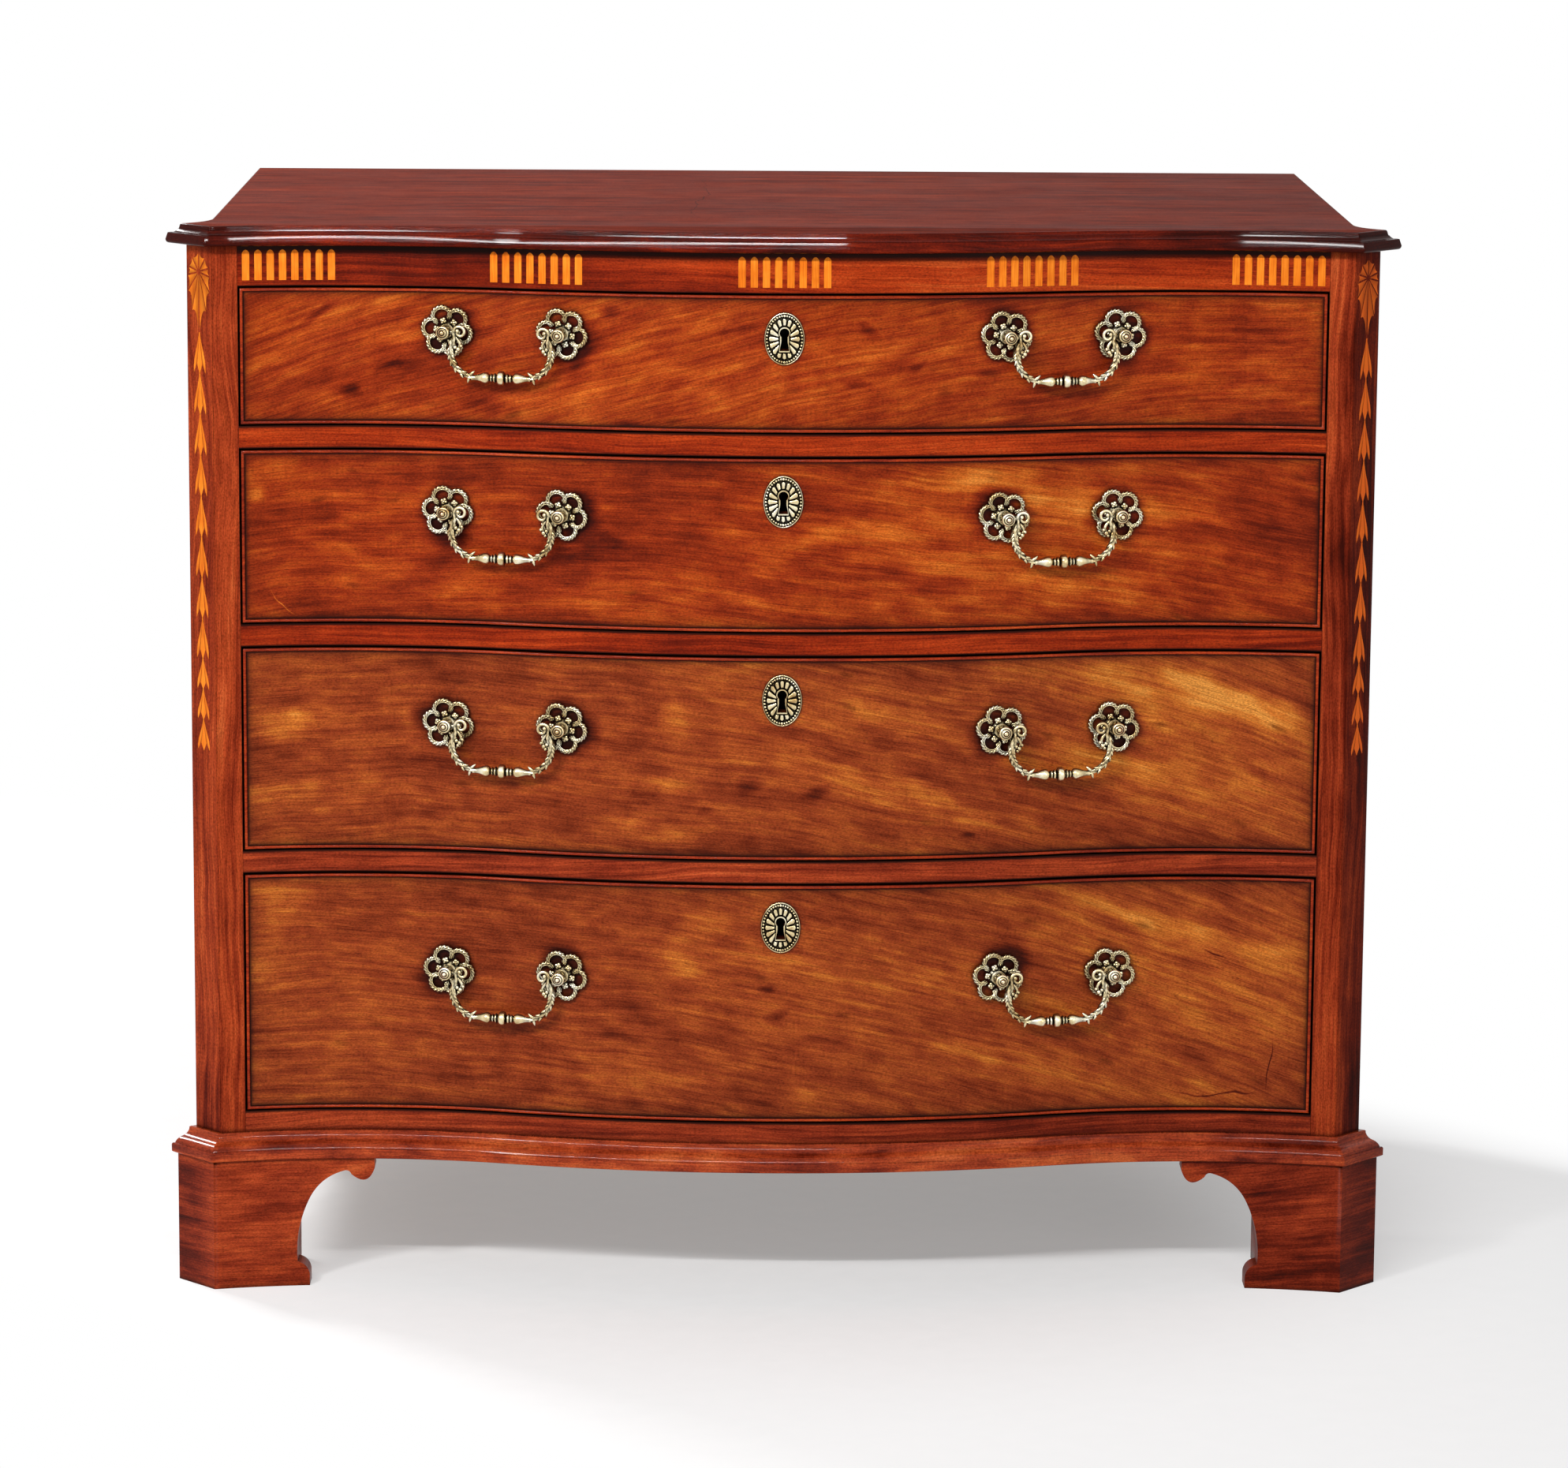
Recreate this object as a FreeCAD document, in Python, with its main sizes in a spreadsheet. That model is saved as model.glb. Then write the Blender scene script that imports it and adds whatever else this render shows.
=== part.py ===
# Serpentine chest of four long drawers, in millimetres.
# The origin lies on the floor, midway across the width and the depth. The front faces -Y.
import FreeCAD, Part
import math
import os
import re
import Sketcher

V = FreeCAD.Vector
UP = V(0, 0, 1)
DRAWERS = (1, 2, 3, 4)
SIDES = {"left": -1, "right": 1}

# Driving sizes, kept in the sheet
SIZES = {
    # Plan of the case, measured from its middle
    "top_depth": 616.0,
    "ear_half": 515.5,
    "arris_half": 492.0,
    "side_half": 493.0,
    "opening_half": 470.0,
    "cant_angle": 45.0,
    "ear_radius": 52.5,
    "swell": 45.0,
    "hollow_x": 368.0,
    "hollow_radius": 550.0,
    # Heights
    "foot_height": 116.0,
    "base_height": 22.0,
    "bottom_rail_height": 40.4,
    "divider_height": 19.5,
    "opening_1": 121.4,
    "opening_2": 154.1,
    "opening_3": 181.5,
    "opening_4": 214.6,
    "frieze_height": 35.5,
    "top_thickness": 16.5,
    # Boards of the case
    "side_thickness": 15.0,
    "back_thickness": 12.0,
    "bottom_thickness": 18.0,
    "rail_depth": 110.0,
    "dustboard_thickness": 10.0,
    "runner_width": 36.0,
    "guide_height": 24.0,
    "kicker_height": 20.0,
    "stop_x": 300.0,
    "stop_width": 40.0,
    "stop_depth": 14.0,
    "stop_height": 6.0,
    # Moulded edge of the top
    "top_overhang": 15.5,
    "side_overhang": 3.5,
    "nose_height": 8.0,
    "nose_radius": 3.6,
    "nose_step": 0.4,
    "cove_reach": 6.8,
    "cove_rise": 4.2,
    "cove_bow": 1.1,
    "edge_step": 0.4,
    "edge_radius": 1.8,
    # Base moulding
    "base_projection": 19.0,
    "fillet_height": 8.0,
    "fillet_step": 2.5,
    "ogee_reach": 12.0,
    "ogee_rise": 11.5,
    "ogee_bow": 1.0,
    # Bracket feet, each reach measured from the case's arris
    "foot_projection": 15.5,
    "foot_side_set": 1.0,
    "foot_thickness": 22.0,
    "toe_reach": 78.0,
    "toe_rise": 10.5,
    "toe_bow": 2.5,
    "waist_reach": 67.4,
    "waist_rise": 22.0,
    "haunch_reach": 77.6,
    "haunch_rise": 78.0,
    "haunch_bow": 3.8,
    "crown_reach": 109.8,
    "crown_rise": 104.5,
    "crown_bow": 5.0,
    "cusp_reach": 115.2,
    "cusp_rise": 101.0,
    "cusp_bow": 1.2,
    "scroll_reach": 135.8,
    "scroll_rise": 106.8,
    "scroll_bow": 8.0,
    "back_bracket_width": 90.0,
    "block_width": 44.0,
    "block_lift": 2.0,
    # Inlay
    "inlay_depth": 1.0,
    "flute_width": 6.2,
    "flute_pitch": 10.45,
    "flute_height": 24.5,
    "flute_crown": 2.8,
    "flute_rise": 6.0,
    "flute_margin": 4.0,
    "patera_drop": 24.0,
    "patera_half": 12.8,
    "patera_upper": 15.5,
    "patera_lower": 46.0,
    "patera_scallop": 1.4,
    "husk_length": 31.0,
    "husk_half": 7.2,
    "husk_shoulder": 17.0,
    "husk_neck": 2.6,
    "husk_notch": 8.0,
    "husk_petal": 3.0,
    "husk_tip": 2.5,
    "husk_pitch": 35.7,
    "husk_start": 112.0,
    "tail_pitch": 27.0,
    # Drawers
    "front_gap": 1.6,
    "front_thickness": 22.0,
    "bead_width": 3.0,
    "bead_depth": 8.0,
    "bead_proud": 2.2,
    "drawer_side_thickness": 10.0,
    "drawer_back_thickness": 10.0,
    "drawer_bottom_thickness": 7.0,
    "drawer_bottom_rise": 12.0,
    "drawer_side_drop": 4.0,
    "drawer_back_drop": 10.0,
    "drawer_rear_gap": 20.0,
    "drawer_side_gap": 1.5,
    "slide_gap": 0.3,
    # Locks and escutcheons
    "lock_width": 60.0,
    "lock_height": 50.0,
    "lock_thickness": 10.0,
    "lock_let_in": 8.0,
    "bolt_width": 24.0,
    "bolt_thickness": 4.0,
    "bolt_height": 20.0,
    "bolt_set": 0.5,
    "bolt_travel": 7.0,
    "bolt_cover": 3.5,
    "escutcheon_drop": 37.3,
    "escutcheon_width": 34.5,
    "escutcheon_height": 45.5,
    "escutcheon_thickness": 3.0,
    "keyhole_radius": 3.7,
    "keyhole_rise": 5.0,
    "keyhole_slot": 5.6,
    "keyhole_drop": 9.5,
    # Handles
    "handle_x": 240.0,
    "boring": 101.6,
    "handle_drop_1": 36.1,
    "handle_drop_2": 52.2,
    "handle_drop_3": 65.7,
    "handle_drop_4": 84.9,
    "rosette_lift": 0.5,
    "rosette_thickness": 3.0,
    "rosette_disc": 9.0,
    "lobe_radius": 9.2,
    "lobe_hole": 5.6,
    "lobe_reach": 14.6,
    "shank_radius": 3.0,
    "shank_clearance": 0.25,
    "shank_spare": 2.5,
    "shoulder_radius": 6.0,
    "shoulder_gap": 0.5,
    "neck_radius": 4.4,
    "neck_reach": 8.0,
    "eye_radius": 5.5,
    "hinge_reach": 14.0,
    "knob_reach": 23.0,
    "knob_tip": 2.2,
    "nut_radius": 6.0,
    "nut_thickness": 4.0,
    "nut_gap": 0.4,
    "pin_radius": 2.0,
    "pin_clearance": 0.05,
    "pin_end": 4.5,
    "arm_radius": 2.9,
    "arm_inset": 8.8,
    "arm_top": 3.0,
    "bail_drop": 38.5,
    "bail_bend": 17.0,
    "bulb_radius": 4.7,
    "bulb_reach": 13.0,
    "bail_neck_radius": 2.4,
    "bail_neck_reach": 8.5,
    "ring_radius": 6.2,
    "ring_half": 2.2,
}

# Counts
FLUTES = 8
PATERA_HALF_WEDGES = 6
HUSKS = 8
TAIL_HUSKS = 3
LOBES = 6
NUT_SIDES = 6
BACK_BOARDS = 4

doc = FreeCAD.newDocument("serpentine_chest")
sheet = doc.addObject("Spreadsheet::Sheet", "dims")
for row, (word, number) in enumerate(SIZES.items(), start=1):
    sheet.set(f"A{row}", str(number))
    sheet.setAlias(f"A{row}", word)
derived = doc.addObject("App::VarSet", "derived")
doc.recompute()
nodes = []


# Names, expressions and simple shapes
def bound(text):
    """The expression, with each named size read from the sheet or from the derived values."""

    def place(match):
        word = match.group(0)
        if word in SIZES:
            return "dims." + word
        if word in derived.PropertiesList:
            return "derived." + word
        return word

    return re.sub(r"[a-z]\w*", place, text)


def derive(word, text):
    """Adds a value that is worked out from the sheet."""
    derived.addProperty("App::PropertyFloat", word)
    derived.setExpression(word, bound(text))
    derived.recompute()


def value(text):
    """The number that a sum of names and numbers stands for."""
    total = 0.0
    for sign, word in re.findall(r"([+-]?)\s*([a-z]\w*|\d+\.?\d*)", text):
        if word in SIZES:
            term = SIZES[word]
        elif word in derived.PropertiesList:
            term = getattr(derived, word)
        else:
            term = float(word)
        total += -term if sign == "-" else term
    return total


def node(piece, label):
    """Names a finished sub-part."""
    piece.Label = label
    nodes.append(piece)
    return piece


def box(name, x, y, z):
    """A board between two bounds along each axis."""
    board = doc.addObject("Part::Box", name)
    for length, axis, (low, high) in (("Length", "x", x), ("Width", "y", y), ("Height", "z", z)):
        board.setExpression(length, bound(f"({high}) - ({low})"))
        board.setExpression(f"Placement.Base.{axis}", bound(low))
    return board


def span(side, low, high):
    """Bounds across the chest, given for the right-hand side and mirrored for the left."""
    if side > 0:
        return low, high
    return f"-({high})", f"-({low})"


def boolean(kind, name, base, tool):
    piece = doc.addObject(kind, name)
    piece.Base = base
    piece.Tool = tool
    return piece


def common(name, base, tool):
    return boolean("Part::Common", name, base, tool)


def cut(name, base, tool):
    return boolean("Part::Cut", name, base, tool)


def group(name, members):
    """Separate solids under one name."""
    piece = doc.addObject("Part::Compound", name)
    piece.Links = members
    return piece


def copy(name, source, base, turn=None, rotation=None):
    """Another instance of a piece, placed by expressions and turned about Z or by a rotation."""
    instance = doc.addObject("App::Link", name)
    instance.LinkedObject = source
    if rotation:
        instance.Placement.Rotation = rotation
    if turn:
        instance.Placement.Rotation = FreeCAD.Rotation(UP, 1)
        instance.setExpression("Placement.Rotation.Angle", bound(turn))
    for axis, text in zip("xyz", base):
        instance.setExpression(f"Placement.Base.{axis}", bound(text))
    return instance


def mirrored(name, source):
    """The same piece on the other side of the chest."""
    piece = doc.addObject("Part::Mirroring", name)
    piece.Source = source
    piece.Normal = V(1, 0, 0)
    return piece


# Sketches
ORIGIN = -1
Y_AXIS = -2
START, END, CENTRE = 1, 2, 3


def tie(sketch, kind, *where):
    sketch.addConstraint(Sketcher.Constraint(kind, *where))


def dimension(sketch, kind, where, text):
    """A dimension that follows an expression."""
    index = sketch.addConstraint(Sketcher.Constraint(kind, *where, value(text)))
    sketch.setExpression(f"Constraints[{index}]", bound(text))


def pin_point(sketch, where, x, y):
    """Fixes a point at two expressions, whatever their signs."""
    for kind, text in (("DistanceX", x), ("DistanceY", y)):
        number = value(text)
        if number < 0:
            index = sketch.addConstraint(Sketcher.Constraint(kind, *where, ORIGIN, START, -number))
            sketch.setExpression(f"Constraints[{index}]", "-(" + bound(text) + ")")
        else:
            index = sketch.addConstraint(Sketcher.Constraint(kind, ORIGIN, START, *where, number))
            sketch.setExpression(f"Constraints[{index}]", bound(text))


def arc(centre, start, end):
    """A counter-clockwise arc."""
    first = math.atan2(start.y - centre.y, start.x - centre.x)
    last = math.atan2(end.y - centre.y, end.x - centre.x)
    if last <= first:
        last += 2 * math.pi
    return Part.ArcOfCircle(Part.Circle(centre, UP, (start - centre).Length), first, last)


def bowed(start, end, bow):
    """An arc between two points that stands off their chord, to the right of it for a positive bow."""
    chord = end - start
    half = chord.Length / 2
    radius = (half * half + bow * bow) / (2 * abs(bow))
    left = V(-chord.y, chord.x, 0).normalize()
    lean = radius - abs(bow)
    middle = (start + end) * 0.5
    if bow > 0:
        return arc(middle + left * lean, start, end)
    return arc(middle - left * lean, end, start)


def trace(sketch, points, closed=True):
    """Draws a line through points. Each point is two expressions, and a third where an arc follows it:
    how far the arc stands off its chord, to the right of the way it runs, or to the left with a minus."""
    places = [V(value(point[0]), value(point[1]), 0) for point in points]
    count = len(points) if closed else len(points) - 1
    ends = []
    for index in range(count):
        after = (index + 1) % len(points)
        start, end = places[index], places[after]
        if len(points[index]) == 2:
            line = sketch.addGeometry(Part.LineSegment(start, end))
            ends.append((line, START, END))
            continue
        bow = points[index][2]
        line = sketch.addGeometry(bowed(start, end, value(bow)))
        ends.append((line, START, END) if value(bow) > 0 else (line, END, START))
    for index in range(count if closed else count - 1):
        line, _, last = ends[index]
        after, first, _ = ends[(index + 1) % count]
        tie(sketch, "Coincident", line, last, after, first)
    for index, (line, first, last) in enumerate(ends):
        pin_point(sketch, (line, first), *points[index][:2])
        if len(points[index]) == 3:
            across, rise = (
                f"(({points[(index + 1) % len(points)][axis]}) - ({points[index][axis]}))" for axis in (0, 1)
            )
            bow = f"({points[index][2]})"
            radius = sketch.addConstraint(Sketcher.Constraint("Radius", line, sketch.Geometry[line].Radius))
            text = f"(({across}^2 + {rise}^2) / 4 + {bow}^2) / (2 * abs({bow}))"
            sketch.setExpression(f"Constraints[{radius}]", bound(text))
    if not closed:
        line, _, last = ends[-1]
        pin_point(sketch, (line, last), *points[-1][:2])
    return sketch


def sketch_in(body, role, name):
    """A sketch on one of a body's own planes."""
    sketch = body.newObject("Sketcher::SketchObject", name)
    sketch.AttachmentSupport = [(plane_of(body, role), "")]
    sketch.MapMode = "FlatFace"
    return sketch


def plane_of(body, role):
    return next(feature for feature in body.Origin.OriginFeatures if feature.Role == role)


def prism(name, points, length, rotation=None, base=("0", "0", "0"), backwards=False):
    """A traced outline, placed and drawn out along its normal."""
    sketch = trace(doc.addObject("Sketcher::SketchObject", name + "_outline"), points)
    if rotation:
        sketch.Placement.Rotation = rotation
    for axis, text in zip("xyz", base):
        sketch.setExpression(f"Placement.Base.{axis}", bound(text))
    piece = doc.addObject("Part::Extrusion", name)
    piece.Base = sketch
    piece.DirMode = "Normal"
    piece.Solid = True
    piece.setExpression("LengthRev" if backwards else "LengthFwd", bound(length))
    if backwards:
        piece.LengthFwd = 0
    return piece


# Worked-out places
derive("back_y", "top_depth / 2")
derive("front_y", "top_overhang - top_depth / 2")
derive("swell_radius", "(hollow_x^2 + swell^2) / (2 * swell) - hollow_radius")
derive("arris_y", "front_y + swell - hollow_radius + sqrt(hollow_radius^2 - (arris_half - hollow_x)^2)")
derive("ear_y", "arris_y + (ear_half - arris_half) * tan(cant_angle)")
derive("sweep_x", "side_half + ear_radius")
derive("sweep_y", "ear_y + sqrt(ear_radius^2 - (sweep_x - ear_half)^2)")
derive("cant_reach", "arris_half * sin(cant_angle) - arris_y * cos(cant_angle)")
derive("side_inner", "side_half - side_thickness")
derive("inner_back_y", "back_y - back_thickness")
derive("rail_back_y", "front_y + rail_depth")
derive("floor_4", "foot_height + bottom_rail_height")
for number in (3, 2, 1):
    derive(f"floor_{number}", f"floor_{number + 1} + opening_{number + 1} + divider_height")
derive("frieze_z", "floor_1 + opening_1")
derive("case_top", "frieze_z + frieze_height")
derive("overall_height", "case_top + top_thickness")
derive("front_inner", "-front_thickness")
derive("stop_face", "-front_thickness - slide_gap")
derive("bead_back", "-bead_depth")
derive("inlay_back", "-inlay_depth")
derive("foot_inner", "foot_projection - foot_thickness")
derive("foot_side_inner", "foot_side_set - foot_thickness")


# Plan of the case: a swelled middle, a hollow at each side, canted corners with a swept return
def crossing(base, along, centre, radius, far):
    """Where a line meets a circle."""
    foot = along.dot(centre - base)
    miss = (base + along * foot - centre).Length
    reach = math.sqrt(radius * radius - miss * miss)
    return base + along * (foot + (reach if far else -reach))


def plan(front, side):
    """The corner points of the right half, set out from the case by the given amounts."""
    slope = math.radians(SIZES["cant_angle"])
    along = V(math.cos(slope), math.sin(slope), 0)
    outward = V(math.sin(slope), -math.cos(slope), 0)
    base = outward * (derived.cant_reach + front)
    ear = V(derived.sweep_x, derived.sweep_y, 0)
    hollow = V(SIZES["hollow_x"], derived.front_y + SIZES["swell"] - SIZES["hollow_radius"], 0)
    swell = V(0, derived.front_y + derived.swell_radius, 0)
    return {
        "ear": ear,
        "hollow": hollow,
        "swell": swell,
        "back": V(SIZES["side_half"] + side, derived.back_y, 0),
        "sweep": V(SIZES["side_half"] + side, derived.sweep_y, 0),
        "tip": crossing(base, along, ear, SIZES["ear_radius"] - side, False),
        "corner": crossing(base, along, hollow, SIZES["hollow_radius"] - front, True),
        "turn": swell + (hollow - swell).normalize() * (derived.swell_radius + front),
    }


def flip(point):
    return V(-point.x, point.y, point.z)


def outline(sketch, front, side):
    """Draws the whole plan, set out at the front by one named amount and at the sides by another."""
    at = plan(value(front), value(side))
    lines = sketch.addGeometry(
        [
            Part.LineSegment(flip(at["back"]), at["back"]),
            Part.LineSegment(at["back"], at["sweep"]),
            arc(at["ear"], at["sweep"], at["tip"]),
            Part.LineSegment(at["corner"], at["tip"]),
            arc(at["hollow"], at["corner"], at["turn"]),
            arc(at["swell"], flip(at["turn"]), at["turn"]),
            arc(flip(at["hollow"]), flip(at["turn"]), flip(at["corner"])),
            Part.LineSegment(flip(at["corner"]), flip(at["tip"])),
            arc(flip(at["ear"]), flip(at["tip"]), flip(at["sweep"])),
            Part.LineSegment(flip(at["sweep"]), flip(at["back"])),
        ],
        False,
    )
    back, right, right_ear, right_cant, right_hollow, swell, left_hollow, left_cant, left_ear, left = lines
    tie(sketch, "Coincident", back, END, right, START)
    tie(sketch, "Tangent", right, END, right_ear, START)
    tie(sketch, "Coincident", right_ear, END, right_cant, END)
    tie(sketch, "Coincident", right_cant, START, right_hollow, START)
    tie(sketch, "Tangent", right_hollow, END, swell, END)
    tie(sketch, "Tangent", swell, START, left_hollow, START)
    tie(sketch, "Coincident", left_hollow, END, left_cant, START)
    tie(sketch, "Coincident", left_cant, END, left_ear, START)
    tie(sketch, "Tangent", left_ear, END, left, START)
    tie(sketch, "Coincident", left, END, back, START)
    tie(sketch, "Horizontal", back)
    tie(sketch, "Vertical", right)
    tie(sketch, "Vertical", left)
    pin_point(sketch, (back, END), f"side_half + {side}", "back_y")
    dimension(sketch, "DistanceX", (back, START, ORIGIN, START), f"side_half + {side}")
    pin_point(sketch, (right_ear, CENTRE), "sweep_x", "sweep_y")
    pin_point(sketch, (left_ear, CENTRE), "-sweep_x", "sweep_y")
    for cant, turn in ((right_cant, "cant_angle"), (left_cant, "180 - cant_angle")):
        index = sketch.addConstraint(Sketcher.Constraint("Angle", cant, math.radians(value(turn))))
        sketch.setExpression(f"Constraints[{index}]", f"({bound(turn)}) * 1deg")
        dimension(sketch, "Distance", (ORIGIN, START, cant), f"cant_reach + {front}")
    tie(sketch, "PointOnObject", swell, CENTRE, Y_AXIS)
    dimension(sketch, "DistanceY", (ORIGIN, START, swell, CENTRE), "front_y + swell_radius")
    dimension(sketch, "Radius", (swell,), f"swell_radius + {front}")
    dimension(sketch, "DistanceX", (ORIGIN, START, right_hollow, CENTRE), "hollow_x")
    dimension(sketch, "DistanceX", (left_hollow, CENTRE, ORIGIN, START), "hollow_x")
    for hollow in (right_hollow, left_hollow):
        index = sketch.addConstraint(
            Sketcher.Constraint("Radius", hollow, SIZES["hollow_radius"] - value(front))
        )
        sketch.setExpression(f"Constraints[{index}]", bound(f"hollow_radius - ({front})"))
    return sketch


def blank(name, front, side):
    """Stock with the case's plan, set out by the given amounts and as tall as the chest."""
    stock = doc.addObject("Part::Extrusion", name)
    stock.Base = outline(doc.addObject("Sketcher::SketchObject", name + "_plan"), front, side)
    stock.DirMode = "Normal"
    stock.Solid = True
    stock.setExpression("LengthFwd", bound("overall_height"))
    return stock


case_blank = blank("case_blank", "0", "0")
inside_blank = blank("inside_blank", "front_inner", "0")
stop_blank = blank("stop_blank", "stop_face", "0")
bead_blank = blank("bead_blank", "bead_proud", "0")
rebate_blank = blank("rebate_blank", "bead_back", "0")
inlay_blank = blank("inlay_blank", "inlay_back", "0")
foot_blank = blank("foot_blank", "foot_projection", "foot_side_set")
foot_inner_blank = blank("foot_inner_blank", "foot_inner", "foot_side_inner")
front_band = cut("front_band", case_blank, inside_blank)
bead_band = cut("bead_band", bead_blank, rebate_blank)
inlay_band = cut("inlay_band", case_blank, inlay_blank)


# Moulded boards: the plan as a slab, its front edge and cants worked to a profile
def spine(sketch, front):
    """The right half of the front edge, from the middle to past the corner."""
    at = plan(value(front), 0)
    middle = V(0, derived.front_y - value(front), 0)
    radius = SIZES["hollow_radius"] - value(front)
    across = derived.sweep_x - SIZES["hollow_x"]
    end = at["hollow"] + V(across, math.sqrt(radius * radius - across * across), 0)
    swell, hollow = sketch.addGeometry([arc(at["swell"], middle, at["turn"]), arc(at["hollow"], end, at["turn"])])
    tie(sketch, "Tangent", swell, END, hollow, END)
    tie(sketch, "PointOnObject", swell, CENTRE, Y_AXIS)
    tie(sketch, "PointOnObject", swell, START, Y_AXIS)
    dimension(sketch, "DistanceY", (ORIGIN, START, swell, CENTRE), "front_y + swell_radius")
    dimension(sketch, "Radius", (swell,), f"swell_radius + {front}")
    dimension(sketch, "DistanceX", (ORIGIN, START, hollow, CENTRE), "hollow_x")
    dimension(sketch, "Radius", (hollow,), f"hollow_radius - {front}")
    dimension(sketch, "DistanceX", (ORIGIN, START, hollow, START), "sweep_x")
    return sketch


def moulded(name, front, side, level, thickness, waste):
    """A slab worked to a profile along its front and its cants, by taking the waste away."""
    body = doc.addObject("PartDesign::Body", name)
    body.setExpression("Placement.Base.z", bound(level))
    slab = body.newObject("PartDesign::Pad", name + "_slab")
    slab.Profile = outline(sketch_in(body, "XY_Plane", name + "_plan"), front, side)
    slab.setExpression("Length", bound(thickness))
    doc.recompute()
    sweep = body.newObject("PartDesign::SubtractivePipe", name + "_front_edge")
    sweep.Profile = trace(sketch_in(body, "YZ_Plane", name + "_front_waste"), waste)
    sweep.Spine = (spine(sketch_in(body, "XY_Plane", name + "_spine"), front), [])
    sweep.Mode = "Binormal"
    sweep.Binormal = UP
    doc.recompute()
    slope = math.radians(SIZES["cant_angle"])
    along = V(math.cos(slope), math.sin(slope), 0)
    outward = along.cross(UP)
    middle = along * along.dot(V(derived.cant_x, derived.cant_y, 0))
    across = sketch_in(body, "XY_Plane", name + "_cant_waste")
    across.AttachmentOffset = FreeCAD.Placement(
        middle + outward * (derived.cant_reach + derived.front_y),
        FreeCAD.Rotation(-outward, UP, along, "ZXY"),
    )
    cant = body.newObject("PartDesign::Pocket", name + "_cant_edge")
    cant.Profile = trace(across, waste)
    cant.Midplane = True
    cant.setExpression("Length", bound("2 * ear_radius + 2 * ear_half - 2 * arris_half"))
    doc.recompute()
    other = body.newObject("PartDesign::Mirrored", name + "_left_edges")
    other.Originals = [sweep, cant]
    other.MirrorPlane = (plane_of(body, "YZ_Plane"), [""])
    body.Tip = other
    doc.recompute()
    if not slab.Shape.Volume > sweep.Shape.Volume > cant.Shape.Volume > other.Shape.Volume:
        raise RuntimeError(f"{name}: an edge was not moulded")
    return body


derive("cant_x", "(arris_half + ear_half) / 2")
derive("cant_y", "(arris_y + ear_y) / 2")
derive("lip_y", "front_y - top_overhang")
derive("waste_y", "lip_y - top_overhang")
derive("waste_z", "-nose_radius")
derive("waste_top", "top_thickness + nose_radius")
derive("nose_bow", "nose_radius * (1 - sqrt(2) / 2)")
derive("edge_bow", "edge_radius * (1 - sqrt(2) / 2)")
derive("cove_y", "lip_y + nose_radius + nose_step")
derive("cove_end_y", "cove_y + cove_reach")
derive("cove_end_z", "nose_height + cove_rise")
derive("edge_y", "cove_end_y + edge_step")
derive("edge_z", "top_thickness - edge_radius")
TOP_WASTE = [
    ("waste_y", "waste_z"),
    ("lip_y + nose_radius", "waste_z"),
    ("lip_y + nose_radius", "0", "-nose_bow"),
    ("lip_y", "nose_radius"),
    ("lip_y", "nose_height - nose_radius", "-nose_bow"),
    ("lip_y + nose_radius", "nose_height"),
    ("cove_y", "nose_height", "cove_bow"),
    ("cove_end_y", "cove_end_z"),
    ("edge_y", "cove_end_z"),
    ("edge_y", "edge_z", "-edge_bow"),
    ("edge_y + edge_radius", "top_thickness"),
    ("edge_y + edge_radius", "waste_top"),
    ("waste_y", "waste_top"),
]
top = moulded("top_board", "top_overhang", "side_overhang", "case_top", "top_thickness", TOP_WASTE)
node(top, "top")

derive("fillet_y", "front_y - base_projection")
derive("base_waste_y", "fillet_y - base_projection")
derive("base_waste_z", "base_height + fillet_step")
derive("ogee_y", "fillet_y + fillet_step")
derive("ogee_mid_y", "ogee_y + ogee_reach / 2")
derive("ogee_mid_z", "fillet_height + ogee_rise / 2")
BASE_WASTE = [
    ("base_waste_y", "fillet_height"),
    ("ogee_y", "fillet_height", "-ogee_bow"),
    ("ogee_mid_y", "ogee_mid_z", "ogee_bow"),
    ("ogee_y + ogee_reach", "fillet_height + ogee_rise"),
    ("ogee_y + ogee_reach", "base_waste_z"),
    ("base_waste_y", "base_waste_z"),
]
base_slab = moulded("base_slab", "base_projection", "side_overhang", "foot_height", "base_height", BASE_WASTE)
node(cut("base_moulding", base_slab, case_blank), "base_moulding")


# Case: sides, back, bottom and rails
CASE_HEIGHT = ("foot_height", "case_top")
for word, side in SIDES.items():
    board = box(f"{word}_side_board", span(side, "side_inner", "side_half"), ("sweep_y", "back_y"), CASE_HEIGHT)
    node(board, f"{word}_side")

derive("back_board_width", f"2 * side_inner / {BACK_BOARDS}")
back_boards = []
for number in range(BACK_BOARDS):
    bounds = (f"{number} * back_board_width - side_inner", f"{number + 1} * back_board_width - side_inner")
    back_boards.append(box(f"back_board_{number + 1}", bounds, ("inner_back_y", "back_y"), CASE_HEIGHT))
node(group("back_board_set", back_boards), "back_boards")

BOTTOM_HEIGHT = ("foot_height", "foot_height + bottom_thickness")
bottom = box("bottom_board", ("-side_inner", "side_inner"), ("rail_back_y", "inner_back_y"), BOTTOM_HEIGHT)
node(bottom, "carcass_bottom")

# Places of the lock's bolt, behind the middle of each drawer front
derive("lock_face_y", "front_y + front_thickness - lock_let_in")
derive("bolt_y", "lock_face_y + bolt_cover")
derive("bolt_back_y", "bolt_y + bolt_thickness")
BETWEEN_STILES = ("-opening_half", "opening_half")


def mortise(name, level):
    """The slot over a lock that takes its bolt."""
    return box(
        name,
        ("-bolt_width / 2 - slide_gap", "bolt_width / 2 + slide_gap"),
        ("bolt_y - slide_gap", "bolt_back_y + slide_gap"),
        (level, f"{level} + bolt_travel + bolt_set"),
    )


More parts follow.
